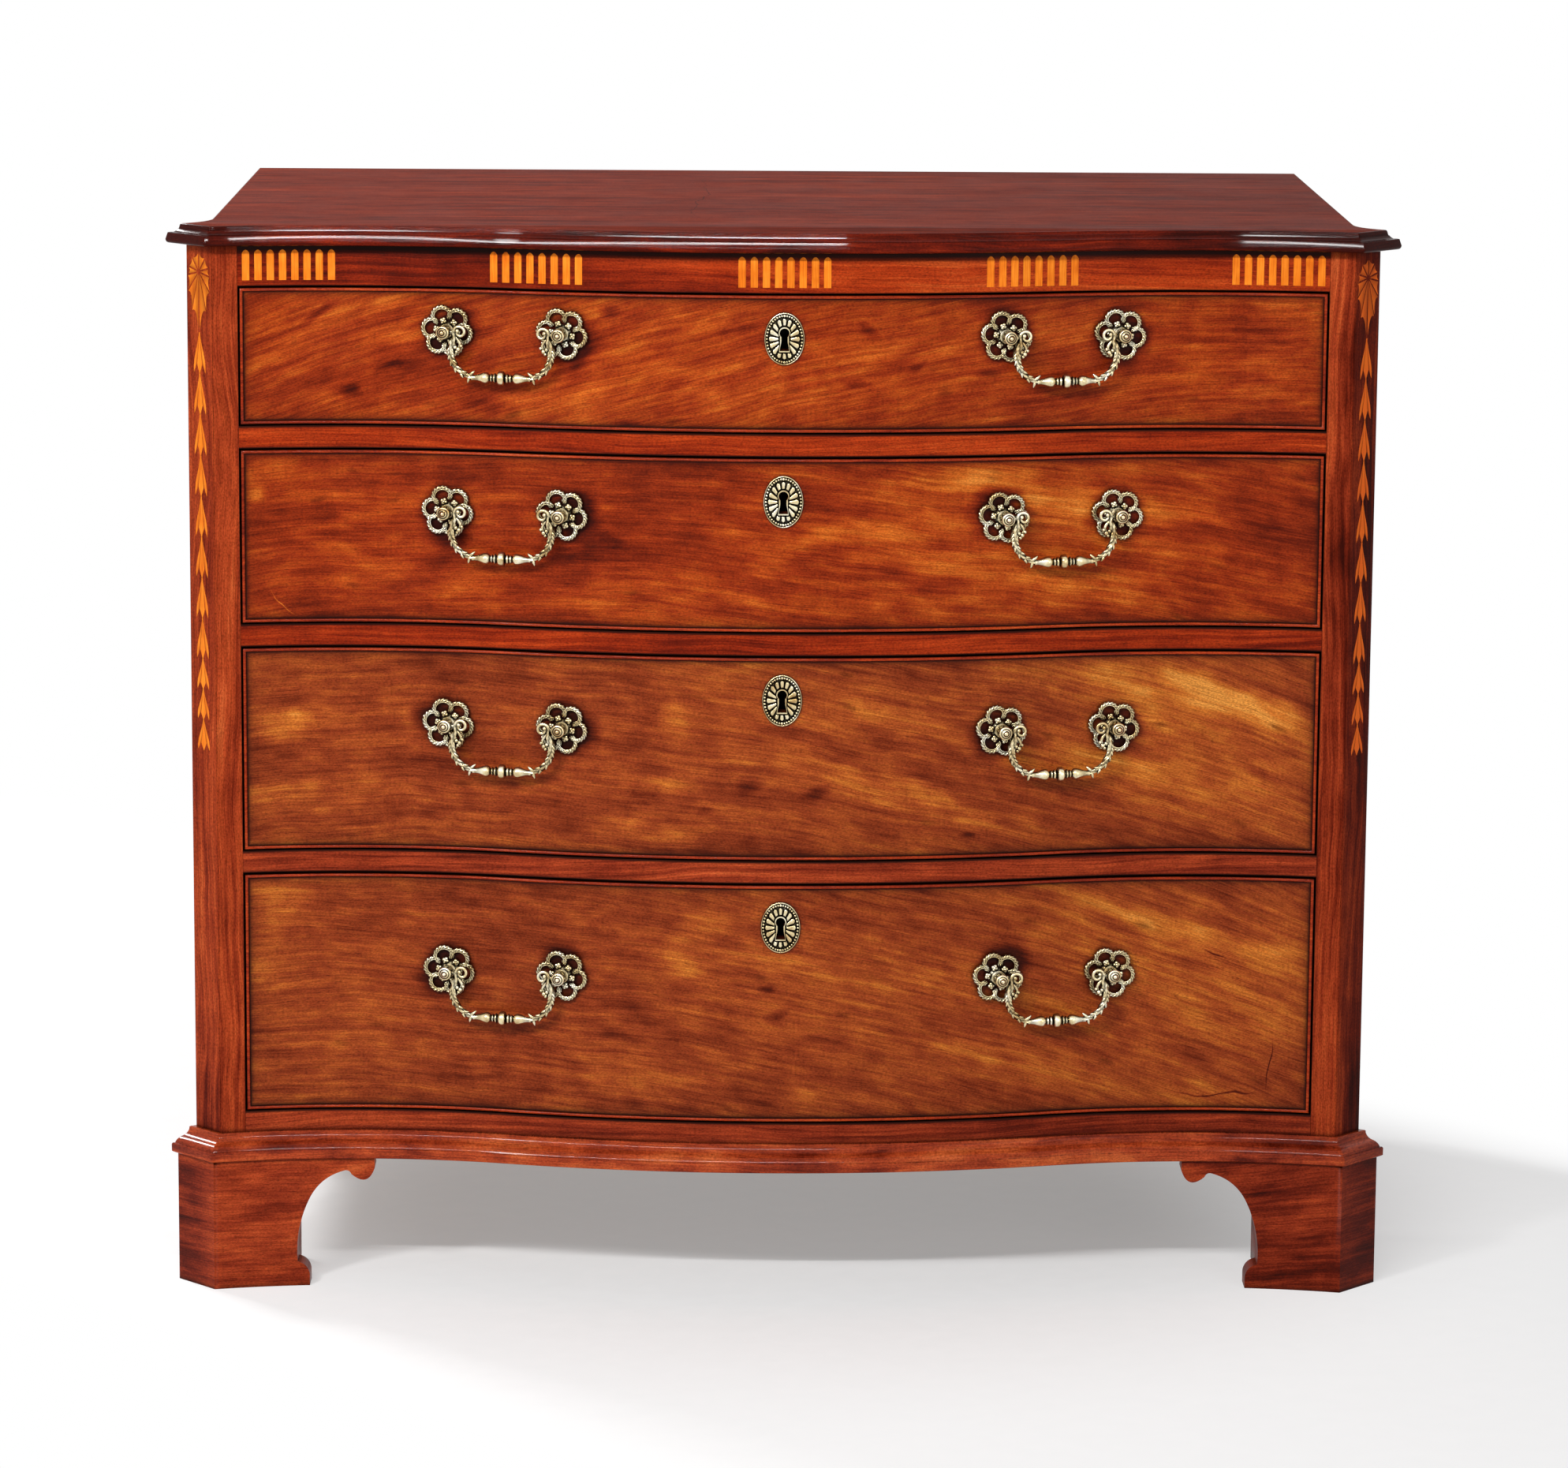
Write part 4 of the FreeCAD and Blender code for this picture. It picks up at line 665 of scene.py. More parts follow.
def steel():
    """Filed iron and steel of the locks."""
    g = Graph("steel", Metallic=1.0)
    scratch = g.noise(g.place(g.object, (0.03, FLAT, 0.0006)), 3.0, 0.6)
    rust = g.noise(g.object, 4.0, 0.6, 70.0)
    colour = g.ramp(scratch, tones((0.3, 104, 102, 98), (0.7, 160, 158, 152)))
    colour = g.mix(g.level(rust, 0.55, 0.75, 0.0, 0.6), colour, srgb(92, 58, 38))
    # Painted shade in the lock's hollows, black inside its keyhole
    colour = g.mix(g.level(g.open_sky(0.02, 4), 0.80, 0.40), colour, srgb(5, 4, 3))
    return g.finish(colour, g.level(rust, 0.3, 0.8, 0.32, 0.6), scratch, 0.0001, 0.3)


# Pale and dark patches of each front's figure: place across and up, half sizes, lean and strength
FIGURES = {
    1: (
        (-60, 829, 300, 60, 12, 0.05), (410, 820, 140, 80, 0, -0.05),
        (-410, 857, 30, 7, 25, -0.22), (-370, 792, 16, 9, 0, -0.22),
        (-335, 813, 16, 6, 25, -0.2), (-256, 789, 20, 10, 20, -0.2),
        (-155, 873, 16, 7, 0, -0.2), (-136, 777, 24, 8, -20, -0.22),
        (73, 858, 14, 7, -20, -0.2), (63, 814, 14, 6, 0, -0.2),
        (117, 826, 10, 5, 0, -0.15),
    ),
    2: (
        (161, 725, 120, 20, 4, 0.16), (275, 700, 140, 20, -5, 0.2),
        (200, 670, 220, 90, 0, 0.07), (225, 637, 160, 18, -6, 0.13),
        (98, 682, 70, 20, -12, 0.16), (35, 676, 70, 14, 18, 0.1),
        (326, 730, 80, 14, -8, 0.12), (161, 611, 120, 12, 0, 0.08),
        (-180, 655, 100, 35, 30, -0.1), (-300, 650, 50, 20, 30, -0.1),
        (427, 670, 60, 60, 0, -0.08), (-456, 700, 12, 12, 0, 0.2),
        (-439, 617, 22, 0.7, -46, 0.3),
    ),
    3: (
        (-434, 510, 50, 25, -10, 0.14), (-396, 507, 50, 14, -12, 0.12),
        (-440, 442, 50, 20, 10, 0.12), (-98, 518, 25, 20, 0, 0.1),
        (307, 540, 200, 20, -13, 0.19), (360, 480, 220, 120, 0, 0.09),
        (400, 512, 100, 20, -17, 0.14), (73, 522, 50, 12, -20, 0.14),
        (98, 452, 160, 22, -20, 0.13), (225, 483, 180, 25, -20, 0.1),
        (320, 450, 200, 30, -15, 0.08), (-117, 415, 80, 15, 8, 0.09),
        (-25, 470, 20, 12, 25, -0.18), (28, 459, 22, 8, 20, -0.2),
        (-60, 444, 12, 6, 0, -0.15), (-304, 420, 20, 10, 0, -0.15),
        (161, 410, 12, 5, 0, -0.2),
    ),
    4: (
        (-446, 350, 50, 20, 0, 0.15), (-452, 295, 30, 30, 0, 0.12),
        (-377, 289, 60, 20, 15, 0.08), (-66, 335, 40, 20, 30, 0.13),
        (-85, 305, 30, 15, 0, 0.1), (237, 355, 100, 12, -12, 0.17),
        (345, 330, 140, 18, -16, 0.17), (380, 270, 200, 140, 0, 0.08),
        (433, 297, 60, 20, -18, 0.12), (54, 283, 120, 20, -20, 0.1),
        (-117, 190, 100, 20, 10, 0.1), (193, 200, 200, 25, -8, 0.08),
        (-142, 270, 70, 50, 20, -0.08), (-6, 283, 12, 6, -10, -0.2),
        (3, 263, 20, 6, 10, -0.18), (-440, 185, 40, 12, 0, -0.15),
        (-142, 228, 20, 8, 0, -0.12), (392, 300, 12, 1.2, -20, -0.4),
        (428, 205, 1, 26, -5, -0.35), (386, 180, 42, 0.9, 3, -0.35),
    ),
}
# Slope of each front's grain at the middle and its change per metre, seed and tone
FRONT_GRAIN = {
    1: (0.20, -0.33, 0.4, 0.05),
    2: (-0.06, -0.30, 2.2, 0.015),
    3: (-0.15, -0.45, 4.9, 0.02),
    4: (-0.18, -0.45, 7.7, 0.03),
}
WOODS = {
    "top": mahogany("top_mahogany", "z", "x", BROWN, broad=(0.7, 0.10, 0.3), streak=(0.30, 0.003, 1.0),
                    mottle=0.3, seed=3.1, tone=-0.06, shine=0.0028, rough=(0.40, 0.44),
                    figure_and_shade_patches=((-70, 0, 0.8, 280, 0, -0.2),)),
    # Painted shade darkens the moulding towards its right end and its left end
    "edge": mahogany("moulding_mahogany", broad=(0.35, 0.05, 0.6), seed=5.2, tone=-0.11, shine=0.065,
                     rough=(0.04, 0.07), bump=0.012,
                     figure_and_shade_patches=((460, 930, 200, 1000, 0, -0.22), (-540, 930, 100, 1000, 0, -0.20))),
    "base": mahogany("base_mahogany", stops=BROWN, broad=(0.25, 0.05, 0.9), mottle=0.8, seed=3.7, tone=0.13,
                     shine=0.10, rough=(0.06, 0.14), bump=0.04),
    "rail": mahogany("rail_mahogany", slope=(0.01, 0.0), streak=(0.20, 0.004, 0.8), seed=8.4, tone=0.06,
                     figure_and_shade_patches=((220, 600, 300, 1000, 0, 0.09), (0, 500, 3000, 200, 0, -0.06))),
    "frieze": mahogany("frieze_mahogany", slope=(-0.015, 0.0), streak=(0.25, 0.004, 0.7), seed=2.7,
                       tone=0.05, figure_and_shade_patches=((-360, 905, 280, 200, 0, -0.10), (200, 905, 350, 200, 0, 0.12))),
    "low": mahogany("low_mahogany", stops=BROWN, slope=(0.01, 0.0), streak=(0.20, 0.004, 0.9), seed=7.1,
                    tone=0.07),
    # Painted shade darkens the right-hand cant, turned from the lamps
    "stile": mahogany("stile_mahogany", grain="z", stops=BROWN, broad=(0.5, 0.03, 0.8),
                      streak=(0.20, 0.004, 0.9), seed=6.3, tone=0.08, shine=0.03,
                      figure_and_shade_patches=((510, 500, 40, 1500, 0, -0.22),)),
    # Painted shade darkens the ears of both feet and the right-hand foot
    "foot": mahogany("foot_mahogany", stops=BROWN, slope=(0.06, 0.0), broad=(0.2, 0.04, 0.7),
                     streak=(0.10, 0.005, 0.6), mottle=0.6, seed=9.6, tone=0.07,
                     figure_and_shade_patches=((-535, 60, 35, 200, 0, -0.16), (535, 60, 35, 200, 0, -0.16),
                            (450, 60, 140, 200, 0, -0.11))),
    "side": mahogany("side_mahogany", "x", "z", broad=(0.6, 0.08, 0.8), seed=4.4),
    "bead": mahogany("bead_mahogany", streak=(0.2, 0.004, 0.6), seed=1.9, tone=0.10, shine=0.12,
                     rough=(0.12, 0.26)),
}
for number, (slope, change, seed, tone) in FRONT_GRAIN.items():
    stops = FIGURED if number < 3 else GOLDEN
    level = handle_level(number)
    # A painted shadow round each handle post
    shadows = [(side * x, level, 30, 30, 0, -0.45) for side in (-1, 1) for x, _ in POSTS.values()]
    WOODS[number] = mahogany(f"drawer_{number}_mahogany", stops=stops, slope=(slope, change),
                             broad=(0.28, 0.05, 0.5), streak=(0.11, 0.005, 0.5), mottle=0.55, seed=seed,
                             tone=tone, figure_and_shade_patches=(*FIGURES[number], *shadows), flecks=0.5, shine=0.07)
BOARDS = {
    "x": board_wood("boards_across", "x", 1.0),
    "y": board_wood("boards_deep", "y", 2.0),
    "z": board_wood("boards_upright", "z", 3.0),
}
SATINWOOD = satinwood()
BRASS = brass()
STEEL = steel()


# The top: rings of its plan, worked to the moulded edge
# Each point has its inset from the lip and its rise, and a third number bends the run after it
TOP_EDGE = [
    (3.6, 0.0, 1.05),
    (0.0, 3.2),
    (0.0, 3.6, 0.05),
    (0.3, 4.5, 0.02),
    (1.73, 9.1),
    (2.6, 9.3, -1.2),
    (10.2, 11.9),
    (10.9, 11.9),
    (11.25, 13.0),
    (11.5, 13.05),
    (11.5, 13.5),
    (11.85, 14.6),
    (12.1, 15.0, 0.4),
    (13.6, 16.5),
]
# The edge is traced from the lip inwards, so its bends lie to the left of the way it runs
top_line = outline([(a, b, -c[0]) if c else (a, b) for a, b, *c in TOP_EDGE])


def eased(height, thickness, radius=1.2):
    """How far a square edge draws in near its top and bottom arrises."""
    near = min(height, thickness - height)
    return radius - math.sqrt(radius**2 - (radius - near) ** 2) if near < radius else 0.0


rings = []
for inset, rise in top_line:
    path = edge_path(TOP_OVERHANG - inset, SIDE_OVERHANG - eased(rise, HEIGHT - CASE_TOP))
    rings.append(lifted(path, CASE_TOP + rise))
top_rim = Shape().add(*barrel(rings))
top = case_piece("top_board", top_rim, "edge", "top")
top.data.materials.append(WOODS["top"])
for face in top.data.polygons:
    if abs(face.normal.z) > 0.95 and face.area > 0.1:
        face.material_index = 1

# The base moulding, swept round the front and sides: reach, rise and bend
BASE_EDGE = [
    (18.4, 0.0),
    (19.0, 0.6),
    (19.0, 6.8),
    (18.2, 8.0),
    (16.5, 8.0, 1.0),
    (10.5, 13.75, -1.0),
    (4.5, 19.5),
    (4.5, 21.4),
    (3.9, 22.0),
]
rings = []
for reach, rise in outline(BASE_EDGE):
    path = edge_path(reach, SIDE_OVERHANG - eased(rise, BASE_HEIGHT))
    rings.append(lifted(path, FOOT_HEIGHT + rise))
for rise in (BASE_HEIGHT, 0.0):
    rings.append(lifted(edge_path(0.0, 0.0), FOOT_HEIGHT + rise))
base = Shape().add(*grid(rings, through=True, caps=True))
case_piece("base_band", base, "base", "base_moulding")

# The canted stiles
for word, side in SIDES.items():
    plan_line = half_path(0.0, 0.0, OPENING_HALF)
    # Painted shade along the edge next to the drawers
    shades = [0.85 if p.x < OPENING_HALF + 0.3 else 0.0 for p in plan_line] + [0.0]
    plan_line.append(Vector((OPENING_HALF, SWEEP_Y)))
    rings = [lifted(plan_line, z) for z in (FOOT_HEIGHT, CASE_TOP)]
    stile = Shape().add(*barrel(rings), shades * 2)
    stile = stile if side > 0 else stile.mirrored()
    case_piece(f"canted_{word}_stile", stile, "stile", f"{word}_stile")


# The rails: frieze, dividers and bottom rail, with a slot over each lock for its bolt
SLOT_HALF = 12.3
SLOT_DEPTHS = (LOCK_FACE + 3.2, LOCK_FACE + 7.8)
SLOT_HEIGHT = 7.5


def rail(name, node, low, high, thickness, wood, slotted=True):
    across = spread(-OPENING_HALF, OPENING_HALF, 180)
    front = [Vector((x, front_y(x))) for x in across]
    if thickness:
        behind = [Vector((x, front_y(x, -thickness))) for x in reversed(across)]
    else:
        behind = [Vector((OPENING_HALF, RAIL_BACK)), Vector((-OPENING_HALF, RAIL_BACK))]
    # Painted shade at each level, darkest against the drawers
    painted_shade_levels = {low: 0.95, low + 0.5: 0.9, low + 1.6: 0.0, high - 2.4: 0.0, high - 1.0: 0.95, high: 0.95}
    if node == "frieze_rail":
        # On the frieze, the painted shadow under the top's lip
        painted_shade_levels = {low: 0.9, low + 1.2: 0.0, high - 11.0: 0.0, high - 7.0: 0.5, high - 4.2: 0.95, high: 0.97}
    rows = [lifted(front + behind, z) for z in painted_shade_levels]
    shades = [shade for shade in painted_shade_levels.values() for _ in rows[0]]
    made = case_piece(name, Shape().add(*barrel(rows), shades), wood, node, 35.0)
    if slotted:
        carve(made, *block((-SLOT_HALF, SLOT_HALF), SLOT_DEPTHS, (low - 1.0, low + SLOT_HEIGHT)))


rail("frieze_band", "frieze_rail", FRIEZE, CASE_TOP, FRONT_THICKNESS, "frieze")
for number in (1, 2, 3):
    wood = "low" if number == 3 else "rail"
    rail(f"rail_{number}", f"divider_{number}", FLOORS[number] - DIVIDER, FLOORS[number], 0, wood)
rail("low_rail", "bottom_rail", FOOT_HEIGHT, FLOORS[4], 0, "low", False)

# Bracket feet, cut from a flat pattern that is wrapped round the corner: place along it, rise and bend
BRACKET = [
    (78.0, 0.0),
    (78.0, 10.5, 2.5),
    (67.4, 22.0, -3.8),
    (77.6, 78.0, -5.0),
    (109.8, 104.5, -1.2),
    (115.2, 101.0, 8.0),
    (135.8, 106.8),
    (135.8, FOOT_HEIGHT),
]
CUT_REACH = 135.0


def wrapped_foot():
    """The right-hand front foot: its faces follow the plan from the front round to the side."""
    inner_out, inner_side = FOOT_PROJECTION - FOOT_THICKNESS, FOOT_SIDE - FOOT_THICKNESS
    corner, tip = cant_ends(FOOT_PROJECTION, FOOT_SIDE)
    inner_corner, inner_tip = cant_ends(inner_out, inner_side)
    cant = (tip - corner).length
    ear, inner_ear = ear_curve(FOOT_PROJECTION, FOOT_SIDE), ear_curve(inner_out, inner_side)
    steps = [(b - a).length for a, b in zip(ear, ear[1:])]
    front_start = ARRIS_HALF - corner.x
    side_start = SWEEP_Y - EAR_Y
    marks = [front_start, front_start - cant]
    for step in steps:
        marks.append(marks[-1] - step)
    origin = marks[-1] + side_start

    def places(reach):
        """The outer and inner points at a place along the pattern."""
        if reach >= marks[0]:
            x = ARRIS_HALF - reach
            inner_x = min(x, inner_corner.x)
            return Vector((x, front_y(x, FOOT_PROJECTION))), Vector((inner_x, front_y(inner_x, inner_out)))
        if reach >= marks[1]:
            t = (marks[0] - reach) / cant
            return corner.lerp(tip, t), inner_corner.lerp(inner_tip, t)
        for k, step in enumerate(steps):
            if reach >= marks[k + 2] - 1e-6:
                t = (marks[k + 1] - reach) / step
                return ear[k].lerp(ear[k + 1], t), inner_ear[k].lerp(inner_ear[k + 1], t)
        y = EAR_Y + origin - reach
        return Vector((SIDE_HALF + FOOT_SIDE, y)), Vector((SIDE_HALF + inner_side, y))

    curve = outline(BRACKET, 10)
    pattern = [(p.x, p.y) for p in curve] + [(origin - p.x, p.y) for p in reversed(curve)]
    work = bmesh.new()
    work.faces.new([work.verts.new((a, b, 0)) for a, b in pattern])
    cuts = spread(marks[0] + 0.01, CUT_REACH, 24) + marks + spread(marks[-1], origin - CUT_REACH, 12)
    for place in cuts:
        geometry = work.verts[:] + work.edges[:] + work.faces[:]
        bmesh.ops.bisect_plane(work, geom=geometry, plane_co=(place, 0, 0), plane_no=(1, 0, 0), dist=1e-4)
    work.verts.index_update()
    flat = [v.co.copy() for v in work.verts]
    faces = [tuple(v.index for v in f.verts) for f in work.faces]
    rim = [(e.verts[0].index, e.verts[1].index) for e in work.edges if len(e.link_faces) == 1]
    work.free()
    both = [places(p.x) for p in flat]
    points = [Vector((q[0].x, q[0].y, p.y)) for p, q in zip(flat, both)]
    points += [Vector((q[1].x, q[1].y, p.y)) for p, q in zip(flat, both)]
    count = len(flat)
    faces += [tuple(i + count for i in reversed(f)) for f in faces]
    faces += [(a, b, b + count, a + count) for a, b in rim]
    return Shape().add(points, faces)


foot = wrapped_foot()
for word, shape in (("right", foot), ("left", foot.mirrored())):
    name = f"front_{word}_foot"
    case_piece(f"bracket_{name}", shape, "foot", name, bevel=0.5)


# Inlay: thin pieces let into the surface
def inlaid(shape, corners, surface, shades=0.0):
    """A flat form with its face just proud of a surface, and its back let in."""
    count = len(corners)
    points = [surface(a, b, 0.06) for a, b in corners] + [surface(a, b, -0.8) for a, b in corners]
    faces = [tuple(range(count)), tuple(reversed(range(count, 2 * count)))]
    faces += [(i, (i + 1) % count, (i + 1) % count + count, i + count) for i in range(count)]
    shape.add(points, faces, list(shades) * 2 if hasattr(shades, "__len__") else shades)


def on_front(a, b, out):
    return Vector((a, front_y(a, out), b))


FLUTE_PITCH = 10.45
FLUTE_HALF = 3.1
FLUTE_LOW = FRIEZE + 4.8
FLUTE_SHOULDER = 23.6
FLUTE_HEAD = 2.8
FLUTES = 8
FLUTE_MARGIN = 4.0
FLUTE_GROUPS = 5
group_half = (FLUTES - 1) / 2 * FLUTE_PITCH
last_group = OPENING_HALF - FLUTE_MARGIN - FLUTE_HALF - group_half
flutes = Shape()
for middle in spread(-last_group, last_group, FLUTE_GROUPS - 1):
    for x in spread(middle - group_half, middle + group_half, FLUTES - 1):
        head = bent((FLUTE_HALF, FLUTE_SHOULDER), (-FLUTE_HALF, FLUTE_SHOULDER), FLUTE_HEAD, 10)
        corners = [(x - FLUTE_HALF, FLUTE_LOW), (x + FLUTE_HALF, FLUTE_LOW)]
        corners += [(x + p.x, FLUTE_LOW + p.y) for p in head]
        inlaid(flutes, corners, on_front, rng.uniform(0.0, 0.16))
piece("satinwood_flutes", flutes, SATINWOOD, "carcass", ["flute_inlay"])

CANT_X = (ARRIS_HALF + EAR_HALF) / 2
CANT_Y = (ARRIS_Y + EAR_Y) / 2


def cant_surface(side):
    """Gives points across and up the cant of one side."""

    def at(a, b, out):
        right = Vector((CANT_X, CANT_Y)) + CANT_ALONG * a * side + CANT_OUT * out
        return Vector((side * right.x, right.y, b))

    return at


def petal(points, level):
    return [(p[0], level + p[1]) for p in points]


# Half of each outline, from the middle outwards, over the hub of a patera or the tip of a husk
PATERA_TIPS = [(0.0, 16.0), (8.4, 11.6), (12.6, 3.6), (13.8, -3.4), (14.0, -16.5), (9.3, -33.0),
               (0.7, -50.0)]
HUSK_MIDDLE = [(0.0, -0.8), (1.7, 3.6), (3.4, 8.0), (2.3, 15.0), (1.45, 22.0), (0.8, 30.0), (0.75, 35.5)]
HUSK_WING = [(4.0, 8.3), (7.6, 0.4), (7.75, 6.0), (6.9, 12.0), (5.2, 18.0), (3.2, 24.0), (1.9, 29.0),
             (1.1, 33.0), (1.0, 30.0), (1.75, 22.0), (2.65, 15.0)]
WING_SHADES = [0.55, 0.05, 0.0, 0.0, 0.0, 0.0, 0.0, 0.05, 0.2, 0.35, 0.5]
PATERA_LEVEL = CASE_TOP - 24.0
PATERA_HUB = 2.2
PETAL_GAP = 0.85
PETAL_BROWN = 0.62
FIRST_HUSK = CASE_TOP - 112.0
HUSKS = 8
HUSK_PITCH = 35.7
SMALL_HUSKS = 3
SMALL_PITCH = 27.0
SMALL_SCALE = 0.76
husks = Shape()
for side in SIDES.values():
    surface = cant_surface(side)
    for sign in (1, -1):
        for first, last in zip(PATERA_TIPS, PATERA_TIPS[1:]):
            first, last = Vector(first), Vector(last)
            part = (last - first).normalized() * PETAL_GAP
            hollow = (first + last) / 2 * (0.80 if last.y > -20 else 0.72)
            rim = bend(first + part, hollow, last - part, 6)
            hub = ((first + last) / 2).normalized() * PATERA_HUB
            corners = [(sign * p.x, PATERA_LEVEL + p.y) for p in [hub] + rim]
            browned = [PETAL_BROWN * (1 - t if sign > 0 else t) for t in spread(0, 1, 6)]
            inlaid(husks, corners, surface, [0.6] + browned)
    levels = [FIRST_HUSK - HUSK_PITCH * k for k in range(HUSKS)]
    levels += [levels[-1] - SMALL_PITCH * (k + 1) for k in range(SMALL_HUSKS)]
    for number, level in enumerate(levels):
        scale = 1.0 if number < HUSKS else SMALL_SCALE
        for sign in (1, -1):
            wing = [(sign * a, b * scale) for a, b in HUSK_WING]
            inlaid(husks, petal(wing, level), surface, WING_SHADES)
        spine = HUSK_MIDDLE + [(-a, b) for a, b in reversed(HUSK_MIDDLE[1:])]
        inlaid(husks, petal([(a, b * scale) for a, b in spine], level), surface, 0.06)
piece("satinwood_husks", husks, SATINWOOD, "carcass", ["husk_inlay"])


# Drawer fronts and beads
def bead_loop(aside, out, low, high):
    """One line of the bead round a front, set aside from its middle and forward of the front."""
    wide = OPENING_HALF - GAP - BEAD / 2 + aside
    bottom, top_level = low + BEAD / 2 - aside, high - BEAD / 2 + aside
    across = spread(-wide, wide, 150)
    up = spread(bottom, top_level, 6)
    line = [(x, bottom) for x in across[:-1]] + [(wide, z) for z in up[:-1]]
    line += [(x, top_level) for x in reversed(across[1:])] + [(-wide, z) for z in reversed(up[1:])]
    return [Vector((x, front_y(x, out), z)) for x, z in line]


# Place across the bead, and reach forward of the front
BEAD_PROFILE = [(-1.5, -BEAD_DEPTH), (-1.5, 0.3), (-1.4, 1.1), (-1.05, 1.75), (-0.5, 2.12),
                (0.0, BEAD_PROUD), (0.5, 2.12), (1.05, 1.75), (1.4, 1.1), (1.5, 0.3), (1.5, -BEAD_DEPTH)]


def graded(low, high, coarse):
    """Places from edge to edge, closer together near both ends."""
    *steps, edge = (0.0, 1.0, 2.5, 5.0, 9.0, 15.0, 24.0, 36.0)
    inside = spread(low + edge, high - edge, coarse)
    return [low + s for s in steps] + inside + [high - s for s in reversed(steps)]


def bead_shade(x, z, low, high):
    """Painted shade against the bead, darkest in the corners."""
    near = max(min(z - low, high - z, PANEL_HALF - abs(x)), 0.0)
    return min(1.0, 0.95 * math.exp(-near / 1.9) + 0.20 * math.exp(-near / 14.0))


LOCK_HALF = 30.2
LOCK_HEIGHT = 50.2
KEY_HEAD = 4.2
KEY_HEAD_Z = 5.0
KEY_TOP = KEY_HEAD_Z + KEY_HEAD - 0.02
KEY_LOW = -10.2
KEY_SLOT = 2.7
KEY_FLARE = 1.4


def keyhole_half(z):
    """Half the width of the keyhole at a height over the middle of its plate, or nothing."""
    head = KEY_HEAD**2 - (z - KEY_HEAD_Z) ** 2
    wide = math.sqrt(head) if head > 0 else 0.0
    if KEY_LOW <= z <= KEY_HEAD_Z:
        wide = max(wide, KEY_SLOT + KEY_FLARE * smooth(-1.0, KEY_LOW, z))
    return wide


for number in DRAWERS:
    body = f"drawer_{number}"
    low, high = front_levels(number)
    across = [-PANEL_HALF - 2.6] + graded(-PANEL_HALF, PANEL_HALF, 150) + [PANEL_HALF + 2.6]
    levels = [low + 0.4] + graded(low + BEAD, high - BEAD, 8) + [high - 0.4]
    rows = []
    shades = []
    for z in levels:
        face = [Vector((x, front_y(x), z)) for x in across]
        behind = [Vector((x, front_y(x, -FRONT_THICKNESS), z)) for x in reversed(across)]
        rows.append(face + behind)
        shades += [bead_shade(x, z, low + BEAD, high - BEAD) for x in across] + [0.0] * len(across)
    shape = Shape().add(*barrel(rows), shades)
    face = piece(f"{body}_figured_front", shape, WOODS[number], body, [f"{body}_front"])
    key_z = high - KEY_DROP
    hole = [(keyhole_half(z), z) for z in spread(KEY_LOW, KEY_TOP, 36)]
    hole += [(-a, b) for a, b in reversed(hole)]
    rows = [[Vector((a, y, key_z + b)) for a, b in hole] for y in (FRONT - 5.0, LOCK_FACE + 1.0)]
    carve(face, *barrel(rows))
    pocket = (high - LOCK_HEIGHT, high + 5.0)
    carve(face, *block((-LOCK_HALF, LOCK_HALF), (LOCK_FACE, FRONT + 40.0), pocket))
    loops = [bead_loop(a, b, low, high) for a, b in BEAD_PROFILE]
    # Painted shade on the bead's flanks
    shades = [0.95 * smooth(0.9, 1.45, abs(aside)) for aside, _ in BEAD_PROFILE for _ in loops[0]]
    shape = Shape().add(*grid(loops, around=True, through=True), shades)
    piece(f"{body}_mitred_bead", shape, WOODS["bead"], body, [f"{body}_cockbead"], 50)


# Escutcheons: a beaded rim, petals round the keyhole and a raised border
PLATE_HALF = (17.25, 22.75)
PLATE_STEPS = 240
PLATE_ROWS = 42
PETALS = 16
RIM_BEADS = 44
RIM_SHARE = 0.875


def keyhole_reach(angle):
    """How far the keyhole reaches from the middle of the plate."""
    reach = 0.0
    while reach < 12.0:
        x, z = reach * math.sin(angle), reach * math.cos(angle)
        if abs(x) > keyhole_half(z) or not KEY_LOW <= z <= KEY_TOP:
            break
        reach += 0.05
    return reach


def plate_height(x, z, border):
    """How far the plate stands off the front at a point, border millimetres from the keyhole."""
    ring = math.hypot(x / PLATE_HALF[0], z / PLATE_HALF[1])
    height = 0.9 + 1.1 * smooth(0.93, 0.95, ring) * (1 - smooth(0.98, 1.0, ring))
    turn = math.atan2(x / PLATE_HALF[0], z / PLATE_HALF[1])
    wave = 0.5 + 0.5 * math.cos(PETALS * turn)
    reach = 0.76 + 0.06 * wave
    body = smooth(0.03, 0.30, wave) * (1 - smooth(reach - 0.07, reach, ring)) * smooth(1.7, 2.6, border)
    height += 1.7 * body * (0.75 + 0.25 * wave)
    lip = 1 - smooth(1.1, 1.7, border)
    return height + 2.1 * lip


def escutcheon(shape, middle):
    rows = [[] for _ in range(PLATE_ROWS)]
    shades = [[] for _ in range(PLATE_ROWS)]
    for angle in turns(PLATE_STEPS):
        near = keyhole_reach(angle)
        way = Vector((math.sin(angle), math.cos(angle)))
        far = 1 / math.hypot(way.x / PLATE_HALF[0], way.y / PLATE_HALF[1])
        spots = [(near, -1.0)]
        for t in spread(0, 1, len(rows) - 3):
            reach = near + (far - near) * t
            spots.append((reach, plate_height(way.x * reach, way.y * reach, reach - near)))
        spots.append((far, -0.2))
        for row, dark, (reach, height) in zip(rows, shades, spots):
            x = way.x * reach
            row.append(Vector((x, front_y(x) - height, middle + way.y * reach)))
            dark.append(0.9 * smooth(1.9, 1.05, height))
    shape.add(*grid(rows, around=True, through=True), [shade for dark in shades for shade in dark])
    for k, angle in enumerate(turns(RIM_BEADS)):
        x = RIM_SHARE * PLATE_HALF[0] * math.sin(angle)
        z = RIM_SHARE * PLATE_HALF[1] * math.cos(angle)
        size = 1.2 if k % (RIM_BEADS // 2) else 1.5
        shape.add(*ball((x, front_y(x) - 1.5, middle + z), (size, size, size), 10, 6))


